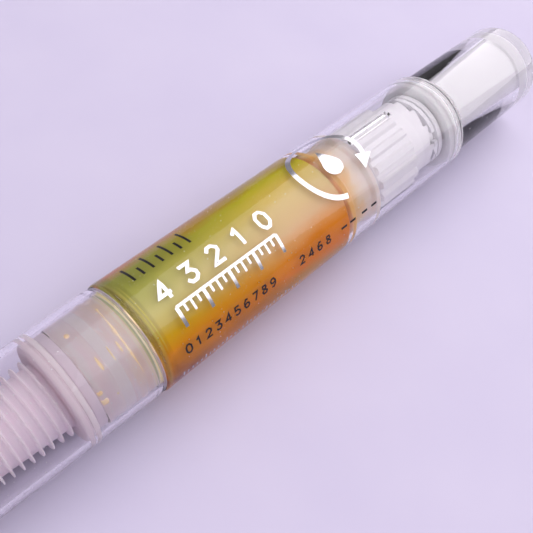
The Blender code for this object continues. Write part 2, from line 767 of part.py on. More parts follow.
def make_core(parent):
    """The knob's core: keyed drive tube, flange behind the ratchet ring, shaft and grip core."""
    flange_rear = CORE_FLANGE_FRONT + CORE_FLANGE_THICKNESS
    outline = [
        (CORE_BORE_END, 0),
        (CORE_BORE_END, ROD_HOLE_R),
        (DRIVE_TUBE_FRONT, ROD_HOLE_R),
        (DRIVE_TUBE_FRONT, DRIVE_TUBE_R),
        (CORE_FLANGE_FRONT, DRIVE_TUBE_R),
        (CORE_FLANGE_FRONT, SKIRT_R),
        (flange_rear, SKIRT_R),
        (flange_rear, SHAFT_R),
        (KNOB_FRONT, SHAFT_R),
        (KNOB_FRONT, CORE_R - EDGE_BREAK),
        (KNOB_FRONT + EDGE_BREAK, CORE_R),
        (CORE_END - EDGE_BREAK, CORE_R),
        (CORE_END, CORE_R - EDGE_BREAK),
        (CORE_END, 0),
    ]
    core = turned("knob_core", outline, INNER_FACETS, parts, parent, ring=False)
    pads = radial_blocks(
        "drive_pads",
        ROD_FLAT_R + FIT_GAP,
        (ROD_HOLE_R + DRIVE_TUBE_R) / 2,
        2 * math.sqrt(ROD_HOLE_R**2 - (ROD_FLAT_R + FIT_GAP) ** 2),
        DRIVE_TUBE_FRONT + SINK,
        DRIVE_TUBE_FRONT + DRIVE_KEYED_LENGTH,
        cutters,
        parent,
        around(2),
    )
    grooves = radial_blocks(
        "lug_grooves",
        DRIVE_TUBE_R - CORE_GROOVE_DEPTH,
        DRIVE_TUBE_R + CUT_OVERRUN,
        PAWL_LUG_WIDTH + 2 * FIT_GAP,
        PAWL_RING_FRONT - FIT_GAP,
        CORE_FLANGE_FRONT + SINK,
        cutters,
        parent,
        around(PAWL_COUNT, math.pi / PAWL_COUNT),
    )
    fuse(core, pads)
    return cut(core, grooves)


def make_collar(parent):
    """The snap ring in the barrel's end, whose bead sits in the bore's groove."""
    bore = SHAFT_R + FIT_GAP
    crest = BORE_R + COLLAR_GROOVE_DEPTH - FIT_GAP
    middle = COLLAR_FRONT + COLLAR_LENGTH / 2
    half = COLLAR_GROOVE_WIDTH / 2 - FIT_GAP
    outline = [
        (COLLAR_FRONT, bore),
        (COLLAR_FRONT, COLLAR_R - EDGE_BREAK),
        (COLLAR_FRONT + EDGE_BREAK, COLLAR_R),
        (middle - half, COLLAR_R),
        (middle, crest),
        (middle + half, COLLAR_R),
        (BARREL_LENGTH, COLLAR_R),
        (BARREL_LENGTH, bore),
    ]
    return turned("end_collar", outline, INNER_FACETS, parts, parent)


def make_knob_shell(parent):
    inner_end = KNOB_END - KNOB_END_WALL
    outline = [
        (inner_end, 0),
        (inner_end, KNOB_BORE_R),
        (KNOB_FRONT, KNOB_BORE_R),
        (KNOB_FRONT, KNOB_R - EDGE_BREAK),
        (KNOB_FRONT + EDGE_BREAK, KNOB_R),
    ]
    outline += reversed(rounded_end(KNOB_END, KNOB_R, KNOB_END_ROUND, KNOB_ARC_STEPS, -1))
    outline.append((KNOB_END, 0))
    return turned("knob_shell", outline, OUTER_FACETS, parts, parent, ring=False)


clear_scene()
parts = new_collection("oil_pen")
cutters = new_collection("cutters", cutters=True)

barrel_axis = body_empty("barrel_axis")
cap_axis = body_empty("cap_axis", barrel_axis)
knob_axis = body_empty("knob_axis", barrel_axis)
plunger_axis = body_empty("plunger_axis", barrel_axis)
rod_axis = body_empty("rod_axis", knob_axis)

PIECES = (
    (make_barrel, barrel_axis, plastic("clear_barrel", (0.96, 0.97, 0.98), 0.03, 1.0, 1.57)),
    (make_oil, barrel_axis, plastic("amber_oil", (0.62, 0.50, 0.12), 0.02, 0.6, 1.46)),
    (make_holder, barrel_axis, plastic("frosted_holder", (0.86, 0.84, 0.87), 0.45, 0.4, 1.5)),
    (make_seal, barrel_axis, plastic("seal_silicone", (0.82, 0.80, 0.82), 0.5, 0.2, 1.4)),
    (make_gasket, barrel_axis, plastic("gasket_silicone", (0.84, 0.82, 0.84), 0.5, 0.3, 1.4)),
    (make_feed_tube, barrel_axis, plastic("feed_tube_plastic", (0.90, 0.90, 0.90), 0.3, 0.5, 1.5)),
    (make_tuft, barrel_axis, plastic("bristle_nylon", (0.93, 0.91, 0.88), 0.4, 0.2, 1.5)),
    (make_nut, barrel_axis, plastic("white_nut", (0.92, 0.91, 0.93), 0.35)),
    (make_collar, barrel_axis, plastic("collar_natural", (0.80, 0.79, 0.83), 0.3, 0.4, 1.5)),
    (make_cap, cap_axis, plastic("clear_cap", (0.96, 0.96, 0.98), 0.04, 1.0, 1.5)),
    (make_knob_shell, knob_axis, plastic("clear_knob", (0.96, 0.96, 0.98), 0.04, 1.0, 1.5)),
    (make_core, knob_axis, plastic("white_core", (0.93, 0.92, 0.94), 0.35)),
    (make_ratchet_ring, knob_axis, plastic("white_ratchet", (0.90, 0.89, 0.92), 0.35)),
    (make_plunger, plunger_axis, plastic("plunger_plastic", (0.85, 0.83, 0.86), 0.45, 0.3, 1.5)),
    (make_rod, rod_axis, plastic("white_rod", (0.91, 0.90, 0.92), 0.35)),
)

for make, axis, material in PIECES:
    piece = make(axis)
    piece.data.materials.clear()
    piece.data.materials.append(material)
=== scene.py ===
"""Looks of the twist-up oil pen: smooth clear plastics, frosted brush holder, amber oil and foil marks.

Places along the pen are in millimetres from the shoulder where the cap's lip meets the barrel,
minus towards the cap and plus towards the knob, as in the part's source.
"""

import functools
import math
import random

import bmesh
import bpy
from mathutils import Matrix, Vector


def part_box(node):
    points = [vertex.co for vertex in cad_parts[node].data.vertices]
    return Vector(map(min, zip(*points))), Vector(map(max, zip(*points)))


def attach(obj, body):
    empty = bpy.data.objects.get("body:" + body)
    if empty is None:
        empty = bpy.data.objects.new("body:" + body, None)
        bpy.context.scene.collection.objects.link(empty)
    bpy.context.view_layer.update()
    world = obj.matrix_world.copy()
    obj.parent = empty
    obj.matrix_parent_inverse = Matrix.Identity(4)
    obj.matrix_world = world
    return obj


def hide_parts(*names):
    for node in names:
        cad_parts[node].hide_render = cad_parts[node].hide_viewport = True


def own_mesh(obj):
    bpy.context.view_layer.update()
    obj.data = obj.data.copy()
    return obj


MM = 0.001

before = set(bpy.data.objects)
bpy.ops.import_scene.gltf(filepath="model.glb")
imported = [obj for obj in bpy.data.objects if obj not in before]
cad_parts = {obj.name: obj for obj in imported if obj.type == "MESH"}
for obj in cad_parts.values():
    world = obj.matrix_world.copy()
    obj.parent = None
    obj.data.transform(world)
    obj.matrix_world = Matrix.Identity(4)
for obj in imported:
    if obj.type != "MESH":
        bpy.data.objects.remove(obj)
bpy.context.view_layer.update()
bpy.context.scene.view_settings.view_transform = "Standard"

# Where the pen lies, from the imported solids
barrel_low, barrel_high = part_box("barrel_tube")
cap_low, cap_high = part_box("cap_shell")
knob_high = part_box("knob_shell")[1]
AXIS_HEIGHT = (barrel_low.z + barrel_high.z) / 2
FIT_GAP = 0.3
SHOULDER_X = cap_high.x + FIT_GAP * MM
CAP_END = (cap_low.x - SHOULDER_X) / MM
BARREL_END = (barrel_high.x - SHOULDER_X) / MM
KNOB_END = (knob_high.x - SHOULDER_X) / MM

# The side of the barrel that faces the camera is this far round from its top
VIEW_TURN = math.radians(24)
TOWARD = Vector((0, -math.sin(VIEW_TURN), math.cos(VIEW_TURN)))
BELOW = Vector((0, -math.cos(VIEW_TURN), -math.sin(VIEW_TURN)))

# Radii and fits. Marks stand PROUD of the barrel, and HAIR leaves room for their small lifts.
PROUD = 0.01
HAIR = 0.004
BARREL_R = AXIS_HEIGHT / MM - PROUD - HAIR
BORE_R = BARREL_R - 0.87
NECK_BORE_R = 4.73
CONTACT = 0.02
CAP_LIP_R = 6.9
CAP_WALL = 0.7
CAP_DRAFT = 0.0193
KNOB_SEAT_R = 5.0
TINY = 1e-6

# Places along the pen
NOSE_TIP = -27.37
BRISTLE_ROOT = -23.67
FLANGE_FRONT = -9.6
FLANGE_REAR = -8.1
NECK_END = -6.9
SEAL_AT = -3.9
SEAL_HALF = 0.62
PLUG_END = 0.6
THROAT = 1.0
CONE_END = 1.8
PLUNGER_FRONT = 29.5
PLUNGER_REAR = 35.9
NUT_FRONT = 36.2
NUT_STEP = 43.9
NUT_CONE_END = 46.1
CROWN_TIPS = 48.1
COLLAR_FRONT = 50.4
KNOB_FRONT = 53.3
KNOB_INNER_END = KNOB_END - 1.9
COLLAR_LINE = (COLLAR_FRONT + BARREL_END) / 2
FLANGE_LINE = (FLANGE_FRONT + FLANGE_REAR) / 2

# Oil drawn out thin. A bead is (place, turn, size), and a line is
# (place, start turn, end turn, half width, radius). Turns are in radians.
# The traces are real oil in shape, and their glow is painted light, as glints.
SEEP_R = NECK_BORE_R + CONTACT
LIP_SEEP_R = BARREL_R - 0.24
SEEP_BEADS = (
    (-6.28, 0.78, 0.3),
    (-6.38, 0.55, 0.2),
    (-5.6, -0.8, 0.26),
    (-1.6, -0.92, 0.2),
    (-6.66, -1.09, 0.13),
    (-6.5, -1.35, 0.12),
    (-4.9, 0.8, 0.1),
)
SEEP_LINES = (
    (-1.85, -0.95, 0.8, 0.22, SEEP_R),
    (-2.35, -0.1, 0.14, 0.13, SEEP_R),
    (-3.45, -0.14, 0.2, 0.2, SEEP_R),
    (-4.95, -0.1, 0.22, 0.26, SEEP_R),
    (-0.1, -0.42, 0.06, 0.09, LIP_SEEP_R),
    (-0.1, 0.2, 0.5, 0.05, LIP_SEEP_R),
)


# Turned shapes


def pen_x(z):
    """The world X of a place along the pen."""
    return SHOULDER_X + z * MM


def pen_point(z, r, turn):
    """The world point at this place along the pen, radius and turn. Turn 0 is up, a quarter is +Y."""
    return pen_x(z), r * MM * math.sin(turn), AXIS_HEIGHT + r * MM * math.cos(turn)


def cap_r(depth):
    """The cap's outside radius this far from its lip."""
    return CAP_LIP_R - depth * CAP_DRAFT


def outline_points(corners, closed, steps):
    """(z, r) points of an outline. A corner is (z, r), or (z, r, fillet) where it is rounded."""
    most_of_side = 0.49
    points = []
    for i, corner in enumerate(corners):
        here = Vector(corner[:2])
        fillet = corner[2] if len(corner) > 2 else 0
        if not fillet or (not closed and i in (0, len(corners) - 1)):
            points.append(tuple(here))
            continue
        back = Vector(corners[i - 1][:2]) - here
        onward = Vector(corners[(i + 1) % len(corners)][:2]) - here
        half = back.angle(onward) / 2
        reach = min(fillet / math.tan(half), back.length * most_of_side, onward.length * most_of_side)
        start = here + back.normalized() * reach
        end = here + onward.normalized() * reach
        weight = math.sin(half)
        for step in range(steps + 1):
            t = step / steps
            a, b, c = (1 - t) ** 2, 2 * t * (1 - t) * weight, t * t
            points.append(tuple((start * a + here * b + end * c) / (a + b + c)))
    return points


def ring_corners(front, rear, inside, outside, inner_fillet, outer_fillet):
    """The outline of a plain ring between two places and two radii, rounded inside and outside."""
    return [
        (front, inside, inner_fillet),
        (front, outside, outer_fillet),
        (rear, outside, outer_fillet),
        (rear, inside, inner_fillet),
    ]


def add_object(name, data):
    """A new object in the scene."""
    obj = bpy.data.objects.new(name, data)
    bpy.context.scene.collection.objects.link(obj)
    return obj


def finish_mesh(name, verts, faces, sharp=35):
    """A smooth piece from points and faces, crisp where faces meet at more than this many degrees."""
    mesh = bpy.data.meshes.new(name)
    mesh.from_pydata(verts, [], faces)
    work = bmesh.new()
    work.from_mesh(mesh)
    bmesh.ops.recalc_face_normals(work, faces=work.faces)
    work.to_mesh(mesh)
    work.free()
    mesh.shade_smooth()
    mesh.set_sharp_from_angle(angle=math.radians(sharp))
    return add_object(name, mesh)


def revolved(name, points, closed, sides, shape, sharp=35):
    """A piece turned from (z, r) points, which shape(z, r, turn) may move to another (z, r) at each turn."""
    verts = []
    rings = []
    for z, r in points:
        if r < TINY:
            rings.append([len(verts)] * sides)
            verts.append(pen_point(z, 0, 0))
            continue
        rings.append(list(range(len(verts), len(verts) + sides)))
        for i in range(sides):
            turn = 2 * math.pi * i / sides
            verts.append(pen_point(*(shape(z, r, turn) if shape else (z, r)), turn))
    pairs = list(zip(rings, rings[1:]))
    if closed:
        pairs.append((rings[-1], rings[0]))
    faces = []
    for first, second in pairs:
        for i in range(sides):
            j = (i + 1) % sides
            faces.append(tuple(dict.fromkeys([first[i], first[j], second[j], second[i]])))
    return finish_mesh(name, verts, faces, sharp)


def turned(name, corners, closed=False, sides=96, steps=6, shape=None):
    """A piece turned from an outline's corners, some of them rounded."""
    return revolved(name, outline_points(corners, closed, steps), closed, sides, shape)


def strand_faces(first, rings, sides, ends=True):
    """Faces of a strand made of rings of points from number first on, with or without flat ends."""
    faces = []
    for ring in range(rings - 1):
        for side in range(sides):
            a = first + ring * sides + side
            b = first + ring * sides + (side + 1) % sides
            faces.append((a, b, b + sides, a + sides))
    if ends:
        for ring in (0, rings - 1):
            faces.append(tuple(first + ring * sides + side for side in range(sides)))
    return faces


# Materials


def srgb(red, green, blue):
    """A linear colour from 0 to 255 screen values."""
    return tuple(
        v / 12.92 if v <= 0.04045 else ((v + 0.055) / 1.055) ** 2.4
        for v in (red / 255, green / 255, blue / 255)
    )


class Nodes:
    """Short calls for the nodes of one material, or of the world. Names take underscores for spaces."""

    def __init__(self, owner, coordinates="Object"):
        owner.use_nodes = True
        self.owner = owner
        self.tree = owner.node_tree
        self.place = self.add("ShaderNodeTexCoord").outputs[coordinates]

    def add(self, kind, **values):
        node = self.tree.nodes.new(kind)
        for name, value in values.items():
            node.inputs[name.replace("_", " ")].default_value = value
        return node

    def link(self, output, target):
        self.tree.links.new(output, target)

    @property
    def shader(self):
        return self.tree.nodes["Principled BSDF"]

    @functools.cached_property
    def axes(self):
        """The X, Y and Z of the place."""
        split = self.add("ShaderNodeSeparateXYZ")
        self.link(self.place, split.inputs["Vector"])
        return tuple(split.outputs)

    def set(self, **values):
        """Sets constants of the shader."""
        for name, value in values.items():
            socket = self.shader.inputs[name.replace("_", " ")]
            socket.default_value = (*value, 1.0) if isinstance(value, tuple) else value

    def feed(self, **outputs):
        """Links outputs to the shader."""
        for name, output in outputs.items():
            self.link(output, self.shader.inputs[name.replace("_", " ")])

    def subsurface(self, weight, scale):
        """Lets light spread this far under the skin, furthest in red."""
        self.set(Subsurface_Weight=weight, Subsurface_Scale=scale)
        self.shader.inputs["Subsurface Radius"].default_value = (1.0, 0.85, 0.9)

    def stretched(self, scale):
        node = self.add("ShaderNodeMapping", Scale=scale)
        self.link(self.place, node.inputs["Vector"])
        return node.outputs["Vector"]

    def noise(self, scale, detail=3.0, vector=None):
        node = self.add("ShaderNodeTexNoise", Scale=scale, Detail=detail)
        self.link(vector or self.place, node.inputs["Vector"])
        return node.outputs["Fac"]

    def cells(self, scale):
        node = self.add("ShaderNodeTexVoronoi", Scale=scale)
        self.link(self.place, node.inputs["Vector"])
        return node.outputs["Distance"]

    def spread(self, value, low, high, to_low=0.0, to_high=1.0, curve="LINEAR"):
        """Goes from to_low to to_high while the value goes from low to high."""
        node = self.add("ShaderNodeMapRange", From_Min=low, From_Max=high, To_Min=to_low, To_Max=to_high)
        node.interpolation_type = curve
        self.link(value, node.inputs["Value"])
        return node.outputs["Result"]

    def along(self, low, high, to_low=0.0, to_high=1.0):
        """Goes from to_low to to_high between two places along the pen."""
        return self.spread(self.axes[0], pen_x(low), pen_x(high), to_low, to_high)

    def math(self, operation, first, second=0.0):
        node = self.add("ShaderNodeMath")
        node.operation = operation
        for socket, value in zip(node.inputs, (first, second)):
            if isinstance(value, (int, float)):
                socket.default_value = value
            else:
                self.link(value, socket)
        return node.outputs["Value"]

    def ramp(self, value, stops):
        node = self.add("ShaderNodeValToRGB")
        elements = node.color_ramp.elements
        while len(elements) < len(stops):
            elements.new(0.5)
        for element, (place, color) in zip(elements, stops):
            element.position = place
            element.color = (*color, 1.0)
        self.link(value, node.inputs["Fac"])
        return node.outputs["Color"]

    def mix(self, factor, first, second):
        node = self.add("ShaderNodeMix")
        node.data_type = "RGBA"
        self.link(factor, node.inputs["Factor"])
        for socket, value in zip([s for s in node.inputs if s.type == "RGBA"], (first, second)):
            if isinstance(value, tuple):
                socket.default_value = (*value, 1.0)
            else:
                self.link(value, socket)
        return [s for s in node.outputs if s.type == "RGBA"][0]

    def bump(self, height, strength, distance):
        node = self.add("ShaderNodeBump", Strength=strength, Distance=distance)
        self.link(height, node.inputs["Height"])
        self.feed(Normal=node.outputs["Normal"])


def material_nodes(name):
    """The nodes of a new material."""
    return Nodes(bpy.data.materials.new(name))


def clear_plastic(name, color, ior, roughness, specular=0.5):
    """Clear moulding: even gloss, with fine rubbed scratches along it and a few specks of dust."""
    n = material_nodes(name)
    n.set(Base_Color=color, Transmission_Weight=1.0, IOR=ior, Specular_IOR_Level=specular)
    rubs = n.noise(1.0, 4.0, n.stretched((260, 5200, 5200)))
    specks = n.spread(n.cells(900), 0.05, 0.11, 0.35, 0.0)
    cloud = n.spread(n.noise(90), 0.4, 0.7, 0.0, 0.01)
    rough = n.math("ADD", n.spread(rubs, 0.62, 0.8, roughness, roughness + 0.05), specks)
    n.feed(Roughness=n.math("ADD", rough, cloud))
    n.bump(n.noise(260, 2.0), 0.1, 0.000006)
    return n.owner


def moulded_plastic(
    name, color, shade, roughness, transmission=0.0, ior=1.5, subsurface=0.0, specular=0.5, painted_glow=0.0
):
    """Opaque or frosted moulding: a soft cloudiness in its colour and a fine matt grain, with an optional
    faint glow that is painted light.
    """
    n = material_nodes(name)
    n.set(Transmission_Weight=transmission, IOR=ior, Specular_IOR_Level=specular)
    # Emission here is painted light, glowing from within the part.
    n.set(Emission_Color=(1.0, 0.88, 0.88), Emission_Strength=painted_glow)
    n.subsurface(subsurface, 2.0 * MM)
    cloud = n.spread(n.noise(420, 4.0), 0.35, 0.7)
    grain = n.noise(5200, 2.0)
    rough = n.spread(grain, 0.3, 0.7, roughness - 0.06, roughness + 0.08)
    n.feed(Base_Color=n.mix(cloud, color, shade), Roughness=rough)
    n.bump(grain, 0.25, 0.00001)
    return n.owner


def frosted_material(name, subsurface, depth, painted_glow):
    """Frosted polypropylene: fine turned streaks, a faint oily stain where the plug meets the oil, painted
    reflections across the plug's end under the cap's lip, and a faint painted glow where one is given.
    """
    n = material_nodes(name)
    # Emission here is painted light, glowing from within the plug.
    n.set(IOR=1.5, Specular_IOR_Level=0.12, Emission_Color=(1.0, 0.86, 0.86), Emission_Strength=painted_glow)
    n.subsurface(subsurface, depth)
    streaks = n.spread(n.noise(1.0, 4.0, n.stretched((2600, 90, 90))), 0.35, 0.7)
    rings = n.spread(n.noise(1.0, 3.0, n.stretched((900, 110, 110))), 0.35, 0.65)
    off_flange = n.math("ABSOLUTE", n.math("SUBTRACT", n.axes[0], pen_x(FLANGE_LINE)))
    at_flange = n.spread(off_flange, 0.8 * MM, 1.0 * MM, 1.0, 0.0)
    nose = n.mix(streaks, (1.0, 0.88, 0.94), (0.95, 0.83, 0.9))
    nose = n.mix(at_flange, nose, (0.78, 0.65, 0.71))
    plug = n.mix(rings, (1.0, 0.9, 0.91), (0.95, 0.8, 0.84))
    body = n.mix(n.along(-10, -7), nose, plug)
    cloud = n.spread(n.noise(1.0, 2.0, n.stretched((500, 240, 240))), 0.42, 0.66, 0.0, 0.4)
    oily = n.math("MULTIPLY", n.along(-7, -1), cloud)
    stain = n.math("ADD", oily, n.along(-3, -1.6, 0.0, 0.35))
    body = n.mix(stain, body, (0.99, 0.74, 0.5))
    # Bands across the plug's end under the cap's lip: painted reflections of the shoulder's rounded edge,
    # pale and gold with a dark olive line.
    lip_reflection_painted_stops = [
        (0.0, (1.0, 0.88, 0.74)),
        (0.24, (0.98, 0.84, 0.58)),
        (0.38, (0.6, 0.6, 0.28)),
        (0.52, (0.31, 0.4, 0.15)),
        (0.64, (0.92, 0.84, 0.58)),
        (0.76, (1.0, 0.88, 0.22)),
        (1.0, (0.8, 0.74, 0.2)),
    ]
    rim = n.ramp(n.along(-0.9, 0.3), lip_reflection_painted_stops)
    body = n.mix(n.along(-1.1, -0.75, 0.0, 0.9), body, rim)
    grain = n.noise(5200, 2.0)
    n.feed(Base_Color=body, Roughness=n.spread(grain, 0.3, 0.7, 0.44, 0.58))
    n.bump(grain, 0.25, 0.00001)
    return n.owner


def piston_material():
    """Natural polyethylene, tinted gold where the oil wets its front lip, with the amber light that comes
    through the oil painted in as well, fading from front to rear.
    """
    n = material_nodes("plunger_plastic")
    n.set(Transmission_Weight=0.05, IOR=1.5, Specular_IOR_Level=0.2)
    n.subsurface(0.6, 1.5 * MM)
    cloud = n.spread(n.noise(420, 4.0), 0.3, 0.7, -0.8 * MM, 0.8 * MM)
    depth = n.spread(n.math("ADD", n.axes[0], cloud), pen_x(PLUNGER_FRONT), pen_x(PLUNGER_REAR))
    # Orange at the front to pale at the rear: the oil's wet tint, and painted light from the oil.
    stops = [
        (0.0, (0.9, 0.46, 0.12)),
        (0.35, (0.93, 0.6, 0.28)),
        (0.55, (0.95, 0.74, 0.58)),
        (1.0, (0.97, 0.86, 0.86)),
    ]
    n.feed(Base_Color=n.ramp(depth, stops), Roughness=n.spread(n.noise(5200, 2.0), 0.3, 0.7, 0.36, 0.5))
    return n.owner


def oil_material():
    """Shimmering oil: olive green on its upper side, amber below, and more orange towards the plunger.

    The side that faces the camera has these bands, and the far side fades softly from green to amber.
    Near its front end, two yellow lines are painted highlights and a lighter band is painted light.
    """
    n = material_nodes("amber_oil")
    n.set(Transmission_Weight=0.15, IOR=1.46, Roughness=0.08, Specular_IOR_Level=0.0)
    x, y, z = n.axes

    def reach(direction):
        """How far the point lies from the pen's axis in this direction."""
        up = n.math("SUBTRACT", z, AXIS_HEIGHT)
        return n.math("ADD", n.math("MULTIPLY", y, direction.y), n.math("MULTIPLY", up, direction.z))

    side, depth = reach(BELOW), reach(TOWARD)
    swirl = n.math("SUBTRACT", n.noise(1.0, 3.0, n.stretched((60, 190, 190))), 0.5)
    sway = n.spread(side, -6.1 * MM, -5.2 * MM, 1.2 * MM, 4.5 * MM)
    wavy = n.math("ADD", side, n.math("MULTIPLY", swirl, sway))
    tone = n.spread(wavy, -6.2 * MM, 6.2 * MM)
    near_lip = [
        (0.0, srgb(230, 110, 15)),
        (0.09, srgb(180, 185, 80)),
        (0.25, srgb(205, 205, 100)),
        (0.44, srgb(240, 230, 140)),
        (0.58, srgb(235, 215, 110)),
        (0.69, srgb(240, 190, 20)),
        (0.86, srgb(255, 165, 5)),
        (1.0, srgb(140, 50, 5)),
    ]
    near_plunger = [
        (0.0, srgb(190, 150, 0)),
        (0.09, srgb(220, 210, 15)),
        (0.25, srgb(245, 215, 100)),
        (0.4, srgb(255, 228, 158)),
        (0.58, srgb(255, 215, 160)),
        (0.76, srgb(255, 155, 30)),
        (0.88, srgb(250, 140, 0)),
        (1.0, srgb(215, 150, 30)),
    ]
    to_plunger = n.along(4, 21)
    color = n.mix(to_plunger, n.ramp(tone, near_lip), n.ramp(tone, near_plunger))
    # Painted highlights: two bright yellow lines round the oil's front end, strongest on the side towards
    # the camera.
    highlight_facing = n.spread(n.math("ABSOLUTE", n.math("ADD", side, 0.6 * MM)), 1.5 * MM, 4.2 * MM, 0.8, 0.0)
    for highlight_z, half in ((1.12, 0.14), (1.45, 0.09)):
        off = n.math("ABSOLUTE", n.math("SUBTRACT", x, pen_x(highlight_z)))
        line = n.math("MULTIPLY", n.spread(off, 0.4 * half * MM, half * MM, 1.0, 0.0), highlight_facing)
        color = n.mix(line, color, srgb(255, 246, 120))
    # Painted light: the oil's front end is lightened towards pale yellow.
    color = n.mix(n.along(0.8, 1.3, 0.55, 0.0), color, srgb(250, 236, 140))
    green = n.mix(to_plunger, srgb(192, 176, 62), srgb(214, 194, 44))
    far_side = n.mix(n.spread(wavy, -5.0 * MM, 5.5 * MM), green, srgb(238, 148, 28))
    color = n.mix(n.spread(depth, -0.8 * MM, 0.8 * MM, 1.0, 0.0), color, far_side)
    flecks = n.spread(n.cells(2600), 0.06, 0.22, 0.6, 0.0)
    patches = n.spread(n.noise(300, 3.0), 0.45, 0.7, 0.1, 1.0)
    n.feed(Base_Color=n.mix(n.math("MULTIPLY", flecks, patches), color, srgb(250, 240, 200)))
    return n.owner


def seep_painted_glint_material():
    """Oil drawn out thin: pale gold, with a glow painted in as the glint where a drop gathers the light."""
    n = material_nodes("amber_seep_painted_glint")
    # The emission is painted light: a golden glint from within the oil.
    n.set(IOR=1.46, Roughness=0.15, Emission_Color=(1.0, 0.66, 0.34), Emission_Strength=0.25)
    tone = n.spread(n.noise(1500, 2.0), 0.35, 0.7)
    n.feed(Base_Color=n.mix(tone, (1.0, 0.84, 0.62), (0.99, 0.72, 0.42)))
    return n.owner


def foil_material():
    """Hot-foil silver: bright, with a slight orange peel and pinholes."""
    n = material_nodes("silver_foil")
    n.set(Metallic=1.0)
    tone = n.spread(n.noise(700), 0.35, 0.7)
    rough = n.spread(n.noise(2400), 0.3, 0.7, 0.12, 0.26)
    n.feed(Base_Color=n.mix(tone, (0.64, 0.64, 0.66), (0.54, 0.54, 0.57)), Roughness=rough)
    n.bump(n.noise(1900), 0.2, 0.00001)
    return n.owner


def ink_material():
    """Black screen print: satin, a little uneven where it covers thinly."""
    n = material_nodes("dark_ink")
    n.set(Specular_IOR_Level=0.2)
    tone = n.spread(n.noise(1600), 0.4, 0.75)
    rough = n.spread(n.noise(3200), 0.3, 0.7, 0.28, 0.42)
    n.feed(Base_Color=n.mix(tone, (0.008, 0.008, 0.009), (0.025, 0.023, 0.025)), Roughness=rough)
    return n.owner


def nylon_material():
    """Fine bristles: pale nylon, a touch warmer where the oil has wetted them at the tip."""
    n = material_nodes("bristle_nylon")
    n.set(Transmission_Weight=0.15, IOR=1.53, Roughness=0.35)
    uneven = n.spread(n.noise(900), 0.3, 0.7, 0.5, 1.0)
    wet = n.math("MULTIPLY", n.along(-39, -28, 1.0, 0.0), uneven)
    n.feed(Base_Color=n.mix(wet, (0.86, 0.84, 0.8), (0.83, 0.7, 0.42)))
    return n.owner


def floor_material():
    """Plain pale ground: matt card with a barely visible tooth."""
    n = material_nodes("pale_ground")
    n.set(Roughness=0.7, Specular_IOR_Level=0.25)
    tone = n.spread(n.noise(55), 0.3, 0.7)
    n.feed(Base_Color=n.mix(tone, (0.6, 0.56, 0.72), (0.63, 0.59, 0.74)))
    n.bump(n.noise(900), 0.04, 0.00005)
    return n.owner


CLEAR_BARREL = clear_plastic("clear_barrel", (1.0, 1.0, 1.0), 1.36, 0.01, 0.9)
CLEAR_CAP = clear_plastic("clear_cap", (1.0, 0.985, 1.0), 1.36, 0.01)
CLEAR_KNOB = clear_plastic("clear_knob", (1.0, 1.0, 1.0), 1.48, 0.01)
# Pale half-clear faces at the cap's lip, the barrel's shoulder and the cap's inner end corner: painted light
# over the dark edges that clear plastic shows there.
EDGE_PAINTED_LIGHT = moulded_plastic("clear_edge_painted_light", (0.95, 0.9, 1.0), (0.88, 0.83, 0.96), 0.35, 0.3, 1.36)
# The plug glows faintly: painted light.
FROSTED = frosted_material("frosted_holder", 0.2, 0.6 * MM, 0.06)
FROSTED_NOSE = frosted_material("frosted_nose", 0.6, 1.6 * MM, 0.0)
# The seal glows faintly: painted light.
SEAL = moulded_plastic(
    "seal_silicone", (1.0, 0.93, 0.94), (0.98, 0.9, 0.92), 0.5,
    ior=1.41, subsurface=0.1, specular=0.1, painted_glow=0.07,
)
GASKET = moulded_plastic("gasket_silicone", (0.76, 0.66, 0.72), (0.72, 0.63, 0.7), 0.5, ior=1.41)
FEED = moulded_plastic("feed_tube_plastic", (0.84, 0.84, 0.85), (0.8, 0.8, 0.82), 0.3, 0.5)
WHITE_NUT = moulded_plastic("white_nut", (0.94, 0.91, 0.95), (0.91, 0.88, 0.93), 0.4)
WHITE_CORE = moulded_plastic("white_core", (0.93, 0.91, 0.94), (0.9, 0.88, 0.92), 0.4)
WHITE_ROD = moulded_plastic("white_rod", (0.9, 0.88, 0.92), (0.86, 0.85, 0.89), 0.38)
WHITE_RATCHET = moulded_plastic("white_ratchet", (0.92, 0.9, 0.94), (0.88, 0.86, 0.91), 0.4)
COLLAR = moulded_plastic(
    "collar_natural", (0.97, 0.93, 0.96), (0.94, 0.9, 0.94), 0.4, 0.1, subsurface=0.6, specular=0.2
)
PISTON = piston_material()
OIL = oil_material()
SEEP_WITH_PAINTED_GLINT = seep_painted_glint_material()
FOIL = foil_material()
INK = ink_material()
NYLON = nylon_material()
GROUND = floor_material()


def dress(obj, material, body, node=None):
    """Gives a new piece its material and its body, and hides the solid it stands for."""
    obj.data.materials.append(material)
    if node:
        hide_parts(node)
    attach(obj, body)
    return obj


def dress_faces(obj, material, chosen):
    """Gives another material to the faces that chosen(centre, normal) picks."""
    obj.data.materials.append(material)
    for face in obj.data.polygons:
        if chosen(face.center, face.normal):
            face.material_index = 1


# Pieces


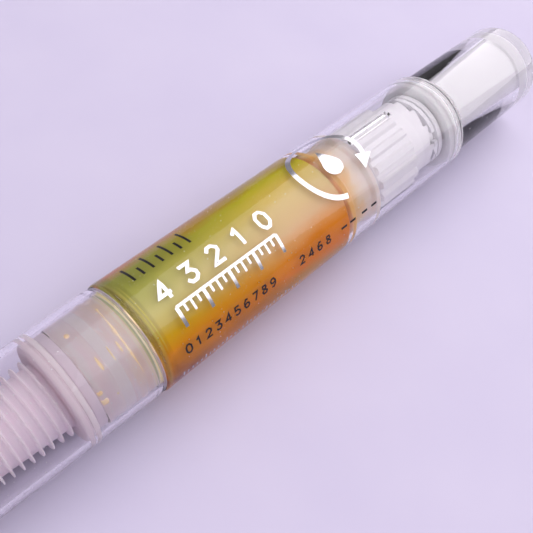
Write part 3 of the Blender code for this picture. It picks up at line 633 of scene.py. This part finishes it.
def make_barrel():
    """The clear tube: neck with its bead, shoulder, three keys for the nut and the collar's groove."""
    key_r, key_half = 5.42, math.radians(2.3)
    keys = [math.pi / 18 + 2 * math.pi * i / 3 for i in range(3)]
    neck_r, bead_r, bead_at = 5.88, 5.97, -2.4
    shoulder_step, groove_depth = 0.8, 0.28

    def keyed(z, r, turn):
        if NUT_FRONT - 0.01 < z < NUT_STEP and abs(r - BORE_R) < 0.01:
            near = min(abs((turn - key + math.pi) % (2 * math.pi) - math.pi) for key in keys)
            if near < key_half:
                return z, key_r
        return z, r

    corners = [
        (NECK_END, NECK_BORE_R, 0.15),
        (NECK_END, neck_r - 0.02, 0.25),
        (bead_at - 0.5, neck_r, 0.3),
        (bead_at - 0.2, bead_r, 0.2),
        (bead_at + 0.2, bead_r, 0.2),
        (bead_at + 0.5, neck_r, 0.3),
        (0, neck_r, 0.1),
        (0, BARREL_R, 0.32),
        (BARREL_END, BARREL_R, 0.2),
        (BARREL_END, BORE_R, 0.12),
        (COLLAR_LINE + 0.6, BORE_R, 0.1),
        (COLLAR_LINE + 0.3, BORE_R + groove_depth, 0.1),
        (COLLAR_LINE - 0.3, BORE_R + groove_depth, 0.1),
        (COLLAR_LINE - 0.6, BORE_R, 0.1),
        (NUT_STEP + 0.1, BORE_R),
        (NUT_STEP - 0.05, BORE_R),
        (NUT_FRONT, BORE_R),
        (NUT_FRONT - 0.15, BORE_R),
        (CONE_END, BORE_R, 0.5),
        (THROAT, BORE_R - shoulder_step, 0.3),
        (THROAT, NECK_BORE_R, 0.2),
    ]
    barrel = turned("clear_barrel_tube", corners, closed=True, sides=180, shape=keyed)
    dress(barrel, CLEAR_BARREL, "barrel", "barrel_tube")

    # The shoulder's flat face takes the pale finish, as painted light.
    def on_shoulder(centre, normal):
        return abs(centre.x - SHOULDER_X) < 0.02 * MM and normal.x < -0.8

    dress_faces(barrel, EDGE_PAINTED_LIGHT, on_shoulder)


def make_oil():
    """The oil column, a hair into the barrel's wall so that no air shows between them."""
    into_wall = 0.04
    r = BORE_R + into_wall
    front = THROAT - into_wall
    rear = PLUNGER_FRONT + CONTACT
    corners = [
        (PLUG_END - CONTACT, 0),
        (PLUG_END - CONTACT, NECK_BORE_R + into_wall, 0.1),
        (front, NECK_BORE_R + into_wall),
        (front, BORE_R - 0.76, 0.2),
        (CONE_END, r, 0.4),
        (rear - 0.2, r, 0.1),
        (rear, BORE_R - 0.5, 0.1),
        (rear, 3.5, 0.3),
        (rear + 0.8, 0),
    ]
    oil = turned("oil_column", corners, sides=128)
    dress(oil, OIL, "barrel", "oil_fill")
    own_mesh(oil)


def make_cap():
    """The clear cap, with a rounded lip and a gate mark in its end. Its lip face and the corner inside its
    end are pale, as painted light over the dark edges that the clear plastic shows there.
    """
    lip = -0.22
    length = -CAP_END
    inner_end = CAP_END + 1.2
    inner_r = cap_r(length) - CAP_WALL
    corners = [
        (CAP_END + 0.12, 0),
        (CAP_END + 0.12, 0.9, 0.1),
        (CAP_END, 1.1, 0.1),
        (CAP_END, cap_r(length), 1.4),
        (-1.12, cap_r(1.12), 0.03),
        (-1.0, cap_r(1.0) - 0.07, 0.03),
        (lip, cap_r(0) - 0.08, 0.35),
        (lip, cap_r(0) - CAP_WALL, 0.15),
        (inner_end, inner_r, 0.8),
        (inner_end, 0),
    ]
    cap = turned("clear_cap_shell", corners, sides=144, steps=8)
    dress(cap, CLEAR_CAP, "cap", "cap_shell")

    # The lip face and the inner end corner take the pale finish, as painted light.
    def at_lip_or_corner(centre, normal):
        across = Vector((0, centre.y, centre.z - AXIS_HEIGHT)).length
        at_lip = centre.x > pen_x(lip - 0.01) and normal.x > 0.8
        at_end = centre.x < pen_x(inner_end + 0.75)
        return at_lip or (at_end and across < inner_r * MM and 0.15 < normal.x < 0.97)

    dress_faces(cap, EDGE_PAINTED_LIGHT, at_lip_or_corner)


def make_holder():
    """The frosted plug and nose, with thin fins, which carries the brush and closes the neck."""
    plug = NECK_BORE_R + CONTACT
    groove = plug - 0.3
    flange = cap_r(-FLANGE_REAR) - CAP_WALL + CONTACT
    scored = flange - 0.14
    feed_r, seat_r, seat_end = 0.75, 1.8, BRISTLE_ROOT + 1.8
    corners = [(NOSE_TIP, seat_r, 0.15), (NOSE_TIP, 2.4, 0.3)]
    fins, pitch, fin_depth = 11, 1.07, 0.75
    for i in range(fins):
        start = FLANGE_FRONT + (i - fins) * pitch
        crest = 4.1 + 0.5 * (i + 0.5) / fins
        root = crest - fin_depth
        corners += [
            (start + 0.2, root, 0.1),
            (start + 0.27, crest, 0.05),
            (start + 0.42, crest, 0.05),
            (start + 0.49, root, 0.1),
        ]
    corners += [
        (FLANGE_FRONT, 3.85, 0.3),
        (FLANGE_FRONT, flange, 0.25),
        (FLANGE_LINE - 0.14, flange, 0.04),
        (FLANGE_LINE - 0.1, scored, 0.04),
        (FLANGE_LINE + 0.1, scored, 0.04),
        (FLANGE_LINE + 0.14, flange, 0.04),
        (FLANGE_REAR, flange, 0.2),
        (FLANGE_REAR, 4.6, 0.15),
        (NECK_END - 0.1, 4.6),
        (NECK_END + 0.2, plug, 0.1),
        (SEAL_AT - SEAL_HALF, plug),
        (SEAL_AT - SEAL_HALF, groove, 0.08),
        (SEAL_AT + SEAL_HALF, groove, 0.08),
        (SEAL_AT + SEAL_HALF, plug),
        (PLUG_END - 0.1, plug, 0.2),
        (PLUG_END, plug - 0.3, 0.1),
        (PLUG_END, 3.1, 0.15),
        (-5.6, 3.0, 0.2),
        (-5.6, feed_r, 0.1),
        (seat_end, feed_r),
        (seat_end, seat_r, 0.1),
    ]
    holder = turned("frosted_brush_holder", corners, closed=True, sides=112, steps=4)
    dress(holder, FROSTED, "barrel", "brush_holder")
    dress_faces(holder, FROSTED_NOSE, lambda centre, normal: centre.x < pen_x(FLANGE_REAR + 0.05))


def make_seals():
    """The round seal ring, squeezed between the plug and the neck, and the flat gasket under the flange."""
    half = SEAL_HALF + 0.01
    corners = ring_corners(SEAL_AT - half, SEAL_AT + half, NECK_BORE_R - 0.3, NECK_BORE_R + 0.04, 0.08, 0.06)
    seal = turned("round_seal_ring", corners, closed=True)
    dress(seal, SEAL, "barrel", "holder_seal_ring")
    hole, rim = 4.65, 5.7
    corners = ring_corners(FLANGE_REAR + CONTACT, NECK_END - CONTACT, hole, rim, 0.15, 0.2)
    gasket = turned("flat_neck_gasket", corners, closed=True)
    dress(gasket, GASKET, "barrel", "neck_gasket")


def seep_bead(z, turn, size):
    """The points of a flat bead on the plug's surface, a little wider than long, and its faces from 0 on."""
    sides, rings = 14, 4
    wide, height = 1.15 * size, 0.35 * size
    verts = []
    for ring in range(rings):
        lift = math.pi / 2 * ring / rings
        for i in range(sides):
            spin = 2 * math.pi * i / sides
            along = size * math.cos(lift) * math.cos(spin)
            at_turn = turn + wide / SEEP_R * math.cos(lift) * math.sin(spin)
            verts.append(wrapped(z + along, at_turn * BARREL_R, SEEP_R + height * math.sin(lift)))
    verts.append(wrapped(z, turn * BARREL_R, SEEP_R + height))
    faces = strand_faces(0, rings, sides, ends=False)
    top = (rings - 1) * sides
    faces += [(top + i, top + (i + 1) % sides, rings * sides) for i in range(sides)]
    faces.append(tuple(range(sides)))
    return verts, faces


def seep_line(middle, start, stop, wide, base):
    """The points of a thin line of oil round the pen, beaded and pointed at its ends, and its faces."""
    steps = max(8, int(16 * (stop - start)))
    verts = []
    for i in range(steps + 1):
        turn = start + (stop - start) * i / steps
        half = wide * (0.6 + 0.4 * math.sin(5 * turn) ** 2) * math.sin(math.pi * i / steps) ** 0.5
        sag = 0.32 * turn * turn if base == SEEP_R else 0
        for along, r in ((-half, base), (0, base + 0.06), (half, base), (0, base - 0.02)):
            verts.append(wrapped(middle + sag + along, turn * BARREL_R, r))
    return verts, strand_faces(0, steps + 1, 4)


def make_seep():
    """Traces of oil between the plug and the neck and under the cap's lip: thin lines and flat beads, which
    glow a little as painted glints.
    """
    verts = []
    faces = []
    traces = [seep_bead(*bead) for bead in SEEP_BEADS] + [seep_line(*line) for line in SEEP_LINES]
    for points, patches in traces:
        faces += [tuple(len(verts) + corner for corner in patch) for patch in patches]
        verts += points
    seep = finish_mesh("oil_seep", verts, faces)
    dress(seep, SEEP_WITH_PAINTED_GLINT, "barrel")


def make_feed_tube():
    """The thin tube that leads the oil through the nose into the brush."""
    bore, outside = 0.25, 0.45
    corners = ring_corners(NOSE_TIP - 1.5, NOSE_TIP + 11.5, bore, outside, 0.05, 0.08)
    tube = turned("thin_feed_tube", corners, closed=True, sides=40, steps=3)
    dress(tube, FEED, "barrel", "feed_tube")


def make_bristles():
    """The brush: fine tapering bristles that lean in to a soft point, on their bound root."""
    random.seed(7)
    count, rings, sides = 520, 7, 4
    hollow_r, foot_rim, longest, bristle_half = 0.62, 1.44, 15.0, 0.055
    golden = math.pi * (3 - math.sqrt(5))
    verts = []
    faces = []
    for i in range(count):
        outward = (i + 0.5) / count
        foot_r = math.sqrt(hollow_r**2 + (foot_rim**2 - hollow_r**2) * outward)
        length = longest * (1 - 0.2 * outward) * random.uniform(0.97, 1.0)
        foot_turn = i * golden
        drift = random.uniform(-0.05, 0.05)
        wave = random.uniform(0.0, 2 * math.pi)
        faces += strand_faces(len(verts), rings, sides)
        for ring in range(rings):
            t = ring / (rings - 1)
            lean = 1 - 0.74 * (t * length / longest) ** 1.25
            r = foot_r * lean + 0.018 * math.sin(wave + 5 * t) * t
            turn = foot_turn + drift * t
            half = bristle_half * (1 - 0.82 * t**1.6)
            x = pen_x(BRISTLE_ROOT + 0.1 - t * length)
            for side in range(sides):
                spin = foot_turn + side * math.pi / 2
                y = r * math.sin(turn) + half * math.sin(spin)
                z = r * math.cos(turn) + half * math.cos(spin)
                verts.append((x, y * MM, AXIS_HEIGHT + z * MM))
    bristles = finish_mesh("brush_bristles", verts, faces, sharp=60)
    dress(bristles, NYLON, "barrel", "bristle_tuft")
    root_r, root_bore, root_end = 1.5, 0.52, BRISTLE_ROOT + 1.5
    corners = [
        (BRISTLE_ROOT, root_bore, 0.05),
        (BRISTLE_ROOT, root_r, 0.25),
        (root_end, root_r, 0.2),
        (root_end, root_bore, 0.05),
    ]
    root = turned("bristle_root", corners, closed=True, sides=48, steps=3)
    dress(root, NYLON, "barrel", "bristle_tuft")


def make_plunger():
    """The piston: a dished front, two soft lips and the socket that the rod's ball snaps into."""
    lip = BORE_R + CONTACT
    core, mouth, socket = 5.6, 1.5, 1.95
    socket_end = PLUNGER_REAR - 4.9
    corners = [
        (PLUNGER_FRONT + 0.8, 0),
        (PLUNGER_FRONT, 3.5, 0.4),
        (PLUNGER_FRONT, core - 0.1, 0.15),
        (PLUNGER_FRONT + 0.35, core, 0.1),
        (PLUNGER_FRONT + 0.5, lip, 0.2),
        (PLUNGER_FRONT + 1.2, lip, 0.25),
        (PLUNGER_FRONT + 1.6, core, 0.3),
        (PLUNGER_REAR - 1.6, core, 0.3),
        (PLUNGER_REAR - 1.2, lip, 0.25),
        (PLUNGER_REAR - 0.5, lip, 0.2),
        (PLUNGER_REAR - 0.3, core, 0.1),
        (PLUNGER_REAR, core - 0.1, 0.15),
        (PLUNGER_REAR, mouth, 0.15),
        (PLUNGER_REAR - 0.9, mouth),
        (PLUNGER_REAR - 1.0, socket, 0.1),
        (socket_end, socket, 0.5),
        (socket_end, 0),
    ]
    plunger = turned("dished_plunger", corners)
    dress(plunger, PISTON, "plunger", "plunger")


def flatted(r, turn, flat):
    """A radius cut down where it passes flats that lie this far above and below the axis."""
    return min(r, flat / max(abs(math.cos(turn)), TINY))


def make_rod():
    """The screw rod: a two-start thread with two flats, a neck and the ball in the plunger's socket."""
    ball, neck = 1.65, 1.2
    ball_at = NUT_FRONT - 2 * ball
    crest, root, flat = 2.48, 2.0, 1.98
    pitch, step = 1.5, 0.12
    thread_front = NUT_FRONT + 0.3
    tail = KNOB_END - 3.2
    ball_steps = 12

    def threaded(z, r, turn):
        if thread_front - 0.01 < z < tail - 0.25:
            phase = (z / pitch + turn / math.pi) % 1.0
            rise = min(1.0, max(0.0, (0.42 - abs(phase - 0.5)) / 0.2))
            r = root + (crest - root) * rise
        return z, flatted(r, turn, flat)

    points = []
    for i in range(ball_steps + 1):
        turn = (math.pi - math.asin(neck / ball)) * i / ball_steps
        points.append((ball_at - ball * math.cos(turn), ball * math.sin(turn)))
    points += [(NUT_FRONT + 0.1, neck), (NUT_FRONT + 0.2, root)]
    count = int((tail - 0.3 - thread_front) / step)
    points += [(thread_front + i * step, root) for i in range(count + 1)]
    points += [(tail - 0.2, root), (tail, root - 0.2), (tail, 0)]
    rod = revolved("threaded_screw_rod", points, closed=False, sides=48, shape=threaded, sharp=28)
    dress(rod, WHITE_ROD, "rod", "screw_rod")


def make_nut():
    """The white guide nut: eighteen ribs, a cone down to its skirt, and the crown of ratchet teeth."""
    root, crest, ribs = 5.32, 5.8, 18
    skirt_r, skirt_bore, bore = 5.0, 4.02, 2.8
    teeth, tooth_height, tooth_share = 12, 0.7, 0.9
    bore_end = 40.0

    def ribbed(z, r, turn):
        if r > root - 0.01 and NUT_FRONT + 0.3 < z < NUT_STEP - 0.15:
            near = abs((turn * ribs / (2 * math.pi) + 0.5) % 1.0 - 0.5) * 2
            rise = min(1.0, max(0.0, (0.62 - near) / 0.18))
            return z, root + (crest - root) * rise
        if z > CROWN_TIPS - 0.05:
            along = (turn * teeth / (2 * math.pi)) % 1.0
            return z - tooth_height * max(0.0, 1 - along / tooth_share), r
        return z, r

    corners = [
        (NUT_FRONT, bore, 0.1),
        (NUT_FRONT, root - 0.15, 0.1),
        (NUT_FRONT + 0.2, root),
        (NUT_FRONT + 0.34, root),
        (NUT_FRONT + 0.6, root),
        (NUT_STEP - 0.5, root),
        (NUT_STEP - 0.2, root),
        (NUT_STEP, root, 0.15),
        (NUT_CONE_END, skirt_r, 0.3),
        (CROWN_TIPS - 0.9, skirt_r),
        (CROWN_TIPS, skirt_r),
        (CROWN_TIPS, skirt_bore),
        (CROWN_TIPS - 0.9, skirt_bore),
        (bore_end, skirt_bore, 0.2),
        (bore_end, bore, 0.1),
    ]
    nut = turned("ribbed_guide_nut", corners, closed=True, sides=216, steps=4, shape=ribbed)
    dress(nut, WHITE_NUT, "barrel", "guide_nut")


def make_core():
    """The knob's white core: keyed drive tube, flange, shaft and the grip core inside the clear shell."""
    tube_front, tube_bore, tube_r, key = 40.3, 2.8, 3.68, 2.3
    flange_front, flange_rear, flange_r, shaft_r = 49.3, 50.1, 4.98, 3.98
    grip_r, groove_r, band_r = 4.7, 4.5, KNOB_SEAT_R + CONTACT
    bore_end, end = KNOB_INNER_END - 1.0, KNOB_INNER_END + CONTACT
    corners = [
        (bore_end, 0),
        (bore_end, tube_bore, 0.2),
        (tube_front, tube_bore, 0.1),
        (tube_front, tube_r, 0.15),
        (flange_front, tube_r, 0.1),
        (flange_front, flange_r, 0.12),
        (flange_rear, flange_r, 0.12),
        (flange_rear, shaft_r, 0.1),
        (KNOB_FRONT, shaft_r, 0.1),
        (KNOB_FRONT, grip_r, 0.3),
        (KNOB_FRONT + 0.9, grip_r, 0.1),
        (KNOB_FRONT + 1.05, groove_r, 0.08),
        (KNOB_FRONT + 1.5, groove_r, 0.08),
        (KNOB_FRONT + 1.65, grip_r, 0.1),
        (end - 2.3, grip_r, 0.1),
        (end - 2.2, band_r, 0.1),
        (end, band_r, 0.3),
        (end, 0),
    ]

    def keyed(z, r, turn):
        if r < tube_bore + 0.1 and z < tube_front + 6:
            r = flatted(r, turn, key)
        return z, r

    core = turned("white_knob_core", corners, sides=112, shape=keyed)
    dress(core, WHITE_CORE, "knob", "knob_core")


def make_knob():
    """The clear shell over the core, with a rounded end and a gate mark."""
    knob_r, draft = 6.35, 0.02
    corners = [
        (KNOB_INNER_END, 0),
        (KNOB_INNER_END, KNOB_SEAT_R, 0.3),
        (KNOB_FRONT, KNOB_SEAT_R - draft, 0.12),
        (KNOB_FRONT, knob_r - draft, 0.25),
        (KNOB_END, knob_r, 1.1),
        (KNOB_END, 1.1, 0.1),
        (KNOB_END - 0.12, 0.9, 0.1),
        (KNOB_END - 0.12, 0),
    ]
    knob = turned("clear_knob_shell", corners, sides=144, steps=8)
    dress(knob, CLEAR_KNOB, "knob", "knob_shell")


def make_collar():
    """The natural ring in the barrel's end, with the bead that snaps into the barrel's groove."""
    hole, r = 4.3, BORE_R + CONTACT
    bead_r = r + 0.2
    corners = [
        (COLLAR_FRONT, hole, 0.1),
        (COLLAR_FRONT, r - 0.05, 0.2),
        (COLLAR_LINE - 0.5, r, 0.1),
        (COLLAR_LINE - 0.2, bead_r, 0.1),
        (COLLAR_LINE + 0.2, bead_r, 0.1),
        (COLLAR_LINE + 0.5, r, 0.1),
        (BARREL_END - 0.05, r, 0.12),
        (BARREL_END - 0.05, hole, 0.12),
    ]
    collar = turned("natural_end_collar", corners, closed=True, steps=4)
    dress(collar, COLLAR, "barrel", "end_collar")


# Marks on the barrel


def wrapped(z, arc, r):
    """The point where arc millimetres lie round the barrel from the line that faces the camera."""
    turn = arc / BARREL_R
    out = TOWARD * math.cos(turn) + BELOW * math.sin(turn)
    return Vector((pen_x(z), 0, AXIS_HEIGHT)) + out * r * MM


class Marks:
    """Thin raised strokes, all in one piece."""

    def __init__(self):
        self.verts = []
        self.faces = []
        self.patches = 0

    def patch(self, rows):
        """A raised patch from rows of (z, arc) points. Where patches cross, one lies a hair higher."""
        wide = len(rows[0])
        base = len(self.verts)
        for top, rise in ((PROUD, 1), (-HAIR, -1)):
            for i, row in enumerate(rows):
                lift = 0.0006 * (self.patches % 4) + 0.0015 * i / len(rows)
                self.verts += [wrapped(z, arc, BARREL_R + top + rise * lift) for z, arc in row]
        self.patches += 1
        under = len(rows) * wide
        for i in range(len(rows) - 1):
            for j in range(wide - 1):
                a = base + i * wide + j
                self.faces.append((a, a + 1, a + wide + 1, a + wide))
                self.faces.append((a + under, a + wide + under, a + wide + 1 + under, a + 1 + under))
        edge = [i * wide for i in range(len(rows))]
        edge += [(len(rows) - 1) * wide + j for j in range(1, wide)]
        edge += [i * wide + wide - 1 for i in range(len(rows) - 2, -1, -1)]
        edge += list(range(wide - 2, 0, -1))
        for a, b in zip(edge, edge[1:] + edge[:1]):
            self.faces.append((base + a, base + b, base + b + under, base + a + under))

    def stroke(self, path, width):
        """A stroke of even width along a path of (z, arc) points, mitred where it bends."""
        longest_piece = 0.35
        fine = []
        for a, b in zip(path, path[1:]):
            pieces = max(1, int((Vector(b) - Vector(a)).length / longest_piece))
            fine += [Vector(a).lerp(Vector(b), i / pieces) for i in range(pieces)]
        fine.append(Vector(path[-1]))
        rows = []
        for i, point in enumerate(fine):
            back = (point - fine[i - 1]).normalized() if i else None
            onward = (fine[i + 1] - point).normalized() if i + 1 < len(fine) else None
            along = ((back or onward) + (onward or back)).normalized()
            stretch = 1 / max(0.5, along.dot(onward or back))
            side = Vector((-along.y, along.x)) * width / 2 * stretch
            rows.append([tuple(point - side), tuple(point + side)])
        self.patch(rows)

    def drop(self, z, arc, radius):
        """A solid drop round this centre, its tip two and a quarter radii above it."""
        steps, tip = 18, 2.25
        slope = math.sqrt(tip**2 - 1)
        rows = []
        for i in range(steps + 1):
            y = radius * (-1 + (1 + tip) * i / steps)
            if y < radius / tip:
                half = math.sqrt(max(radius**2 - y**2, 0.0))
            else:
                half = (tip * radius - y) / slope
            rows.append([(z + (half + 0.01) * j / 4, arc - y) for j in range(-4, 5)])
        self.patch(rows)

    def numeral(self, digit, z, arc, height, width):
        """A digit whose foot is at arc, reading along the pen."""
        self.stroke([(z + x * height, arc - y * height) for x, y in NUMERALS[digit]], width)

    def make(self, name, material):
        """The finished piece, on the barrel."""
        marks = finish_mesh(name, self.verts, self.faces, sharp=30)
        return dress(marks, material, "barrel")


# The bends of each digit's one stroke, in shares of its height
NUMERALS = {
    "0": [
        (0, 0.25), (0, 0.75), (0.2, 1), (0.45, 1), (0.65, 0.75),
        (0.65, 0.25), (0.45, 0), (0.2, 0), (0, 0.25),
    ],
    "1": [(0.05, 0.76), (0.35, 1.0), (0.35, 0)],
    "2": [(0, 0.78), (0.2, 1), (0.45, 1), (0.65, 0.8), (0.62, 0.6), (0, 0), (0.68, 0)],
    "3": [
        (0, 1), (0.62, 1), (0.3, 0.6), (0.5, 0.57), (0.66, 0.38),
        (0.64, 0.18), (0.45, 0), (0.18, 0), (0, 0.2),
    ],
    "4": [(0.52, 0), (0.52, 1), (0, 0.3), (0.72, 0.3)],
    "5": [
        (0.62, 1), (0.08, 1), (0.04, 0.56), (0.36, 0.62), (0.62, 0.42),
        (0.62, 0.2), (0.42, 0), (0.16, 0), (0, 0.16),
    ],
    "6": [
        (0.56, 0.95), (0.3, 1), (0.06, 0.7), (0, 0.3), (0.18, 0),
        (0.46, 0), (0.64, 0.2), (0.6, 0.46), (0.36, 0.56), (0.04, 0.4),
    ],
    "7": [(0, 1), (0.66, 1), (0.22, 0)],
    "8": [
        (0.32, 0.54), (0.08, 0.7), (0.12, 0.95), (0.5, 0.95), (0.56, 0.7), (0.32, 0.54),
        (0, 0.26), (0.14, 0), (0.5, 0), (0.64, 0.26), (0.32, 0.54),
    ],
    "9": [
        (0.08, 0.05), (0.34, 0), (0.58, 0.3), (0.64, 0.7), (0.46, 1),
        (0.18, 1), (0, 0.8), (0.04, 0.54), (0.28, 0.44), (0.6, 0.6),
    ],
}


def draw_scale(foil):
    """The graduated scale: a long line, every quarter of a division a tick, and the numerals above."""
    start, division, line_arc = 4.2, 3.6, 0.35
    foil.stroke([(start, line_arc), (start + 4 * division, line_arc)], 0.34)
    for i in range(17):
        z = start + i * division / 4
        foot, width = ((2.7, 0.42), (1.35, 0.28), (1.75, 0.28), (1.35, 0.28))[i % 4]
        foil.stroke([(z, line_arc), (z, foot)], width)
    for i, digit in enumerate("43210"):
        foil.numeral(digit, start + i * division - 0.75, -0.75, 2.1, 0.42)


def draw_turn_arrow(foil):
    """A ring with a gap and an arrowhead, round a plain drop."""
    centre_z, centre_arc, ring_r, head_half, head_length = 30.9, -3.0, 4.9, 1.2, 0.42

    def on_ring(angle, r=ring_r):
        return centre_z + r * math.cos(angle), centre_arc + r * math.sin(angle)

    ring = [math.radians(100 + 280 * i / 60) for i in range(61)]
    foil.stroke([on_ring(angle) for angle in ring], 0.66)
    tip_z, tip_arc = on_ring(ring[-1] + head_length)
    ends = [on_ring(ring[-1], ring_r - head_half), on_ring(ring[-1], ring_r + head_half)]
    foil.patch([ends, [(tip_z - 0.03, tip_arc), (tip_z + 0.03, tip_arc)]])
    foil.drop(centre_z, centre_arc + 0.8, 1.3)


def draw_index(ink):
    """Index lines on the barrel's upper side, and small numerals and dashes along its lower side."""
    for i in range(7):
        z = 3.0 + i * 1.25
        ink.stroke([(z, -4.7), (z, -7.6 if i % 2 == 0 else -6.2)], 0.3)
    foot_arc, height, width = 5.5, 1.05, 0.22
    for digits, start, pitch in (("0123456789", 3.0, 1.38), ("2468", 20.2, 1.5)):
        for i, digit in enumerate(digits):
            ink.numeral(digit, start + i * pitch, foot_arc, height, width)
    for z in (27.4, 29.0, 31.2, 33.0):
        ink.stroke([(z, 5.0), (z + 1.0, 5.0)], 0.3)


def draw_fine_ticks(foil):
    """A row of fine ticks low on the barrel's side, every fifth one longer."""
    foot_arc = 8.75
    for i in range(30):
        z = 2.2 + i * 0.62
        foil.stroke([(z, foot_arc), (z, foot_arc - (0.8 if i % 5 == 0 else 0.5))], 0.2)


def make_marks():
    """A plain graduated scale and a turn arrow in silver foil, and index lines and numerals in dark ink."""
    foil = Marks()
    draw_scale(foil)
    draw_turn_arrow(foil)
    draw_fine_ticks(foil)
    foil.make("scale_marks", FOIL)
    ink = Marks()
    draw_index(ink)
    ink.make("index_lines", INK)


# Room, light and camera


def make_floor():
    """A wide plain floor, a hair under the pen."""
    radius, drop, sides = 2.5, 0.02 * MM, 96
    rim = [2 * math.pi * i / sides for i in range(sides)]
    verts = [(radius * math.cos(turn), radius * math.sin(turn), -drop) for turn in rim]
    mesh = bpy.data.meshes.new("pale_floor")
    mesh.from_pydata(verts, [], [tuple(range(sides))])
    floor = add_object("pale_floor", mesh)
    floor.data.materials.append(GROUND)


def make_light(name, width, height, place, toward, level):
    """A soft box of this size in metres. The level is its brightness, whatever its size."""
    soft = bpy.data.lights.new(name, "AREA")
    soft.shape = "RECTANGLE"
    soft.size = width
    soft.size_y = height
    soft.color = (1.0, 0.96, 1.0)
    soft.energy = level * math.pi * width * height
    lamp = add_object(name, soft)
    lamp.location = place
    lamp.rotation_euler = Vector(toward).to_track_quat("-Z", "Y").to_euler()


def make_room():
    """The soft room's light, and behind it a pale wall that only the camera and clear pieces see.

    A height is the sine of the angle above the horizon. At its foot the wall darkens with painted shade, to
    meet the far floor.
    """
    n = Nodes(bpy.data.worlds.new("soft_room"), "Generated")
    height = n.axes[2]
    path = n.add("ShaderNodeLightPath")
    to_camera = path.outputs["Is Camera Ray"]
    wall = n.mix(n.spread(height, 0.0, 0.6), (0.5, 0.47, 0.59), (0.74, 0.7, 0.83))
    # Painted shade along the wall's foot, seen only by the camera.
    foot = n.math("MULTIPLY", to_camera, n.spread(height, 0.0, 0.16, 1.0, 0.0, "SMOOTHSTEP"))
    wall = n.mix(foot, wall, (0.25, 0.225, 0.295))
    low = n.spread(height, 0.12, 0.25, 1.0, 0.0)
    through = n.math("MULTIPLY", path.outputs["Is Transmission Ray"], low)
    room = tuple(0.38 * part for part in (0.97, 0.91, 1.0))
    color = n.mix(n.math("MAXIMUM", to_camera, through), room, wall)
    n.link(color, n.tree.nodes["Background"].inputs["Color"])
    bpy.context.scene.world = n.owner


def make_camera():
    """The photograph's view: the pen runs up to the right and away, seen from its near side above."""
    heading, tilt, roll = math.radians(34.915), math.radians(55.072), math.radians(-12.191)
    lip_right, lip_down, lip_ahead = -15.06, 7.89, 75.33
    forward = Vector(
        (math.cos(heading) * math.cos(tilt), math.sin(heading) * math.cos(tilt), -math.sin(tilt))
    )
    level = forward.cross(Vector((0, 0, 1))).normalized()
    right = level * math.cos(roll) + forward.cross(level) * math.sin(roll)
    down = forward.cross(right)
    lip = Vector((SHOULDER_X, 0, AXIS_HEIGHT))
    place = lip - (right * lip_right + down * lip_down + forward * lip_ahead) * MM
    data = bpy.data.cameras.new("photo_view")
    data.sensor_width = 36
    data.lens = 47.48
    data.clip_start = 0.005
    camera = add_object("photo_view", data)
    turn = Matrix((right, -down, -forward)).transposed().to_4x4()
    camera.matrix_world = Matrix.Translation(place) @ turn
    bpy.context.scene.camera = camera


make_barrel()
make_oil()
make_cap()
make_holder()
make_seals()
make_seep()
make_feed_tube()
make_bristles()
make_plunger()
make_rod()
make_nut()
make_core()
make_knob()
make_collar()
make_marks()

# The ratchet ring is shown as it was packed, so it only takes a material
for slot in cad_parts["ratchet_ring"].material_slots:
    slot.material = WHITE_RATCHET

make_floor()
make_light("leaning_softbox", 1.0, 0.785, (0.361, -0.1, 0.405), (-0.759, 0, -0.652), 1.95)
make_light("low_fill", 0.8, 0.3, (-0.45, -0.1, 0.45), (0.7, 0.1, -0.7), 1.7)
make_room()
make_camera()
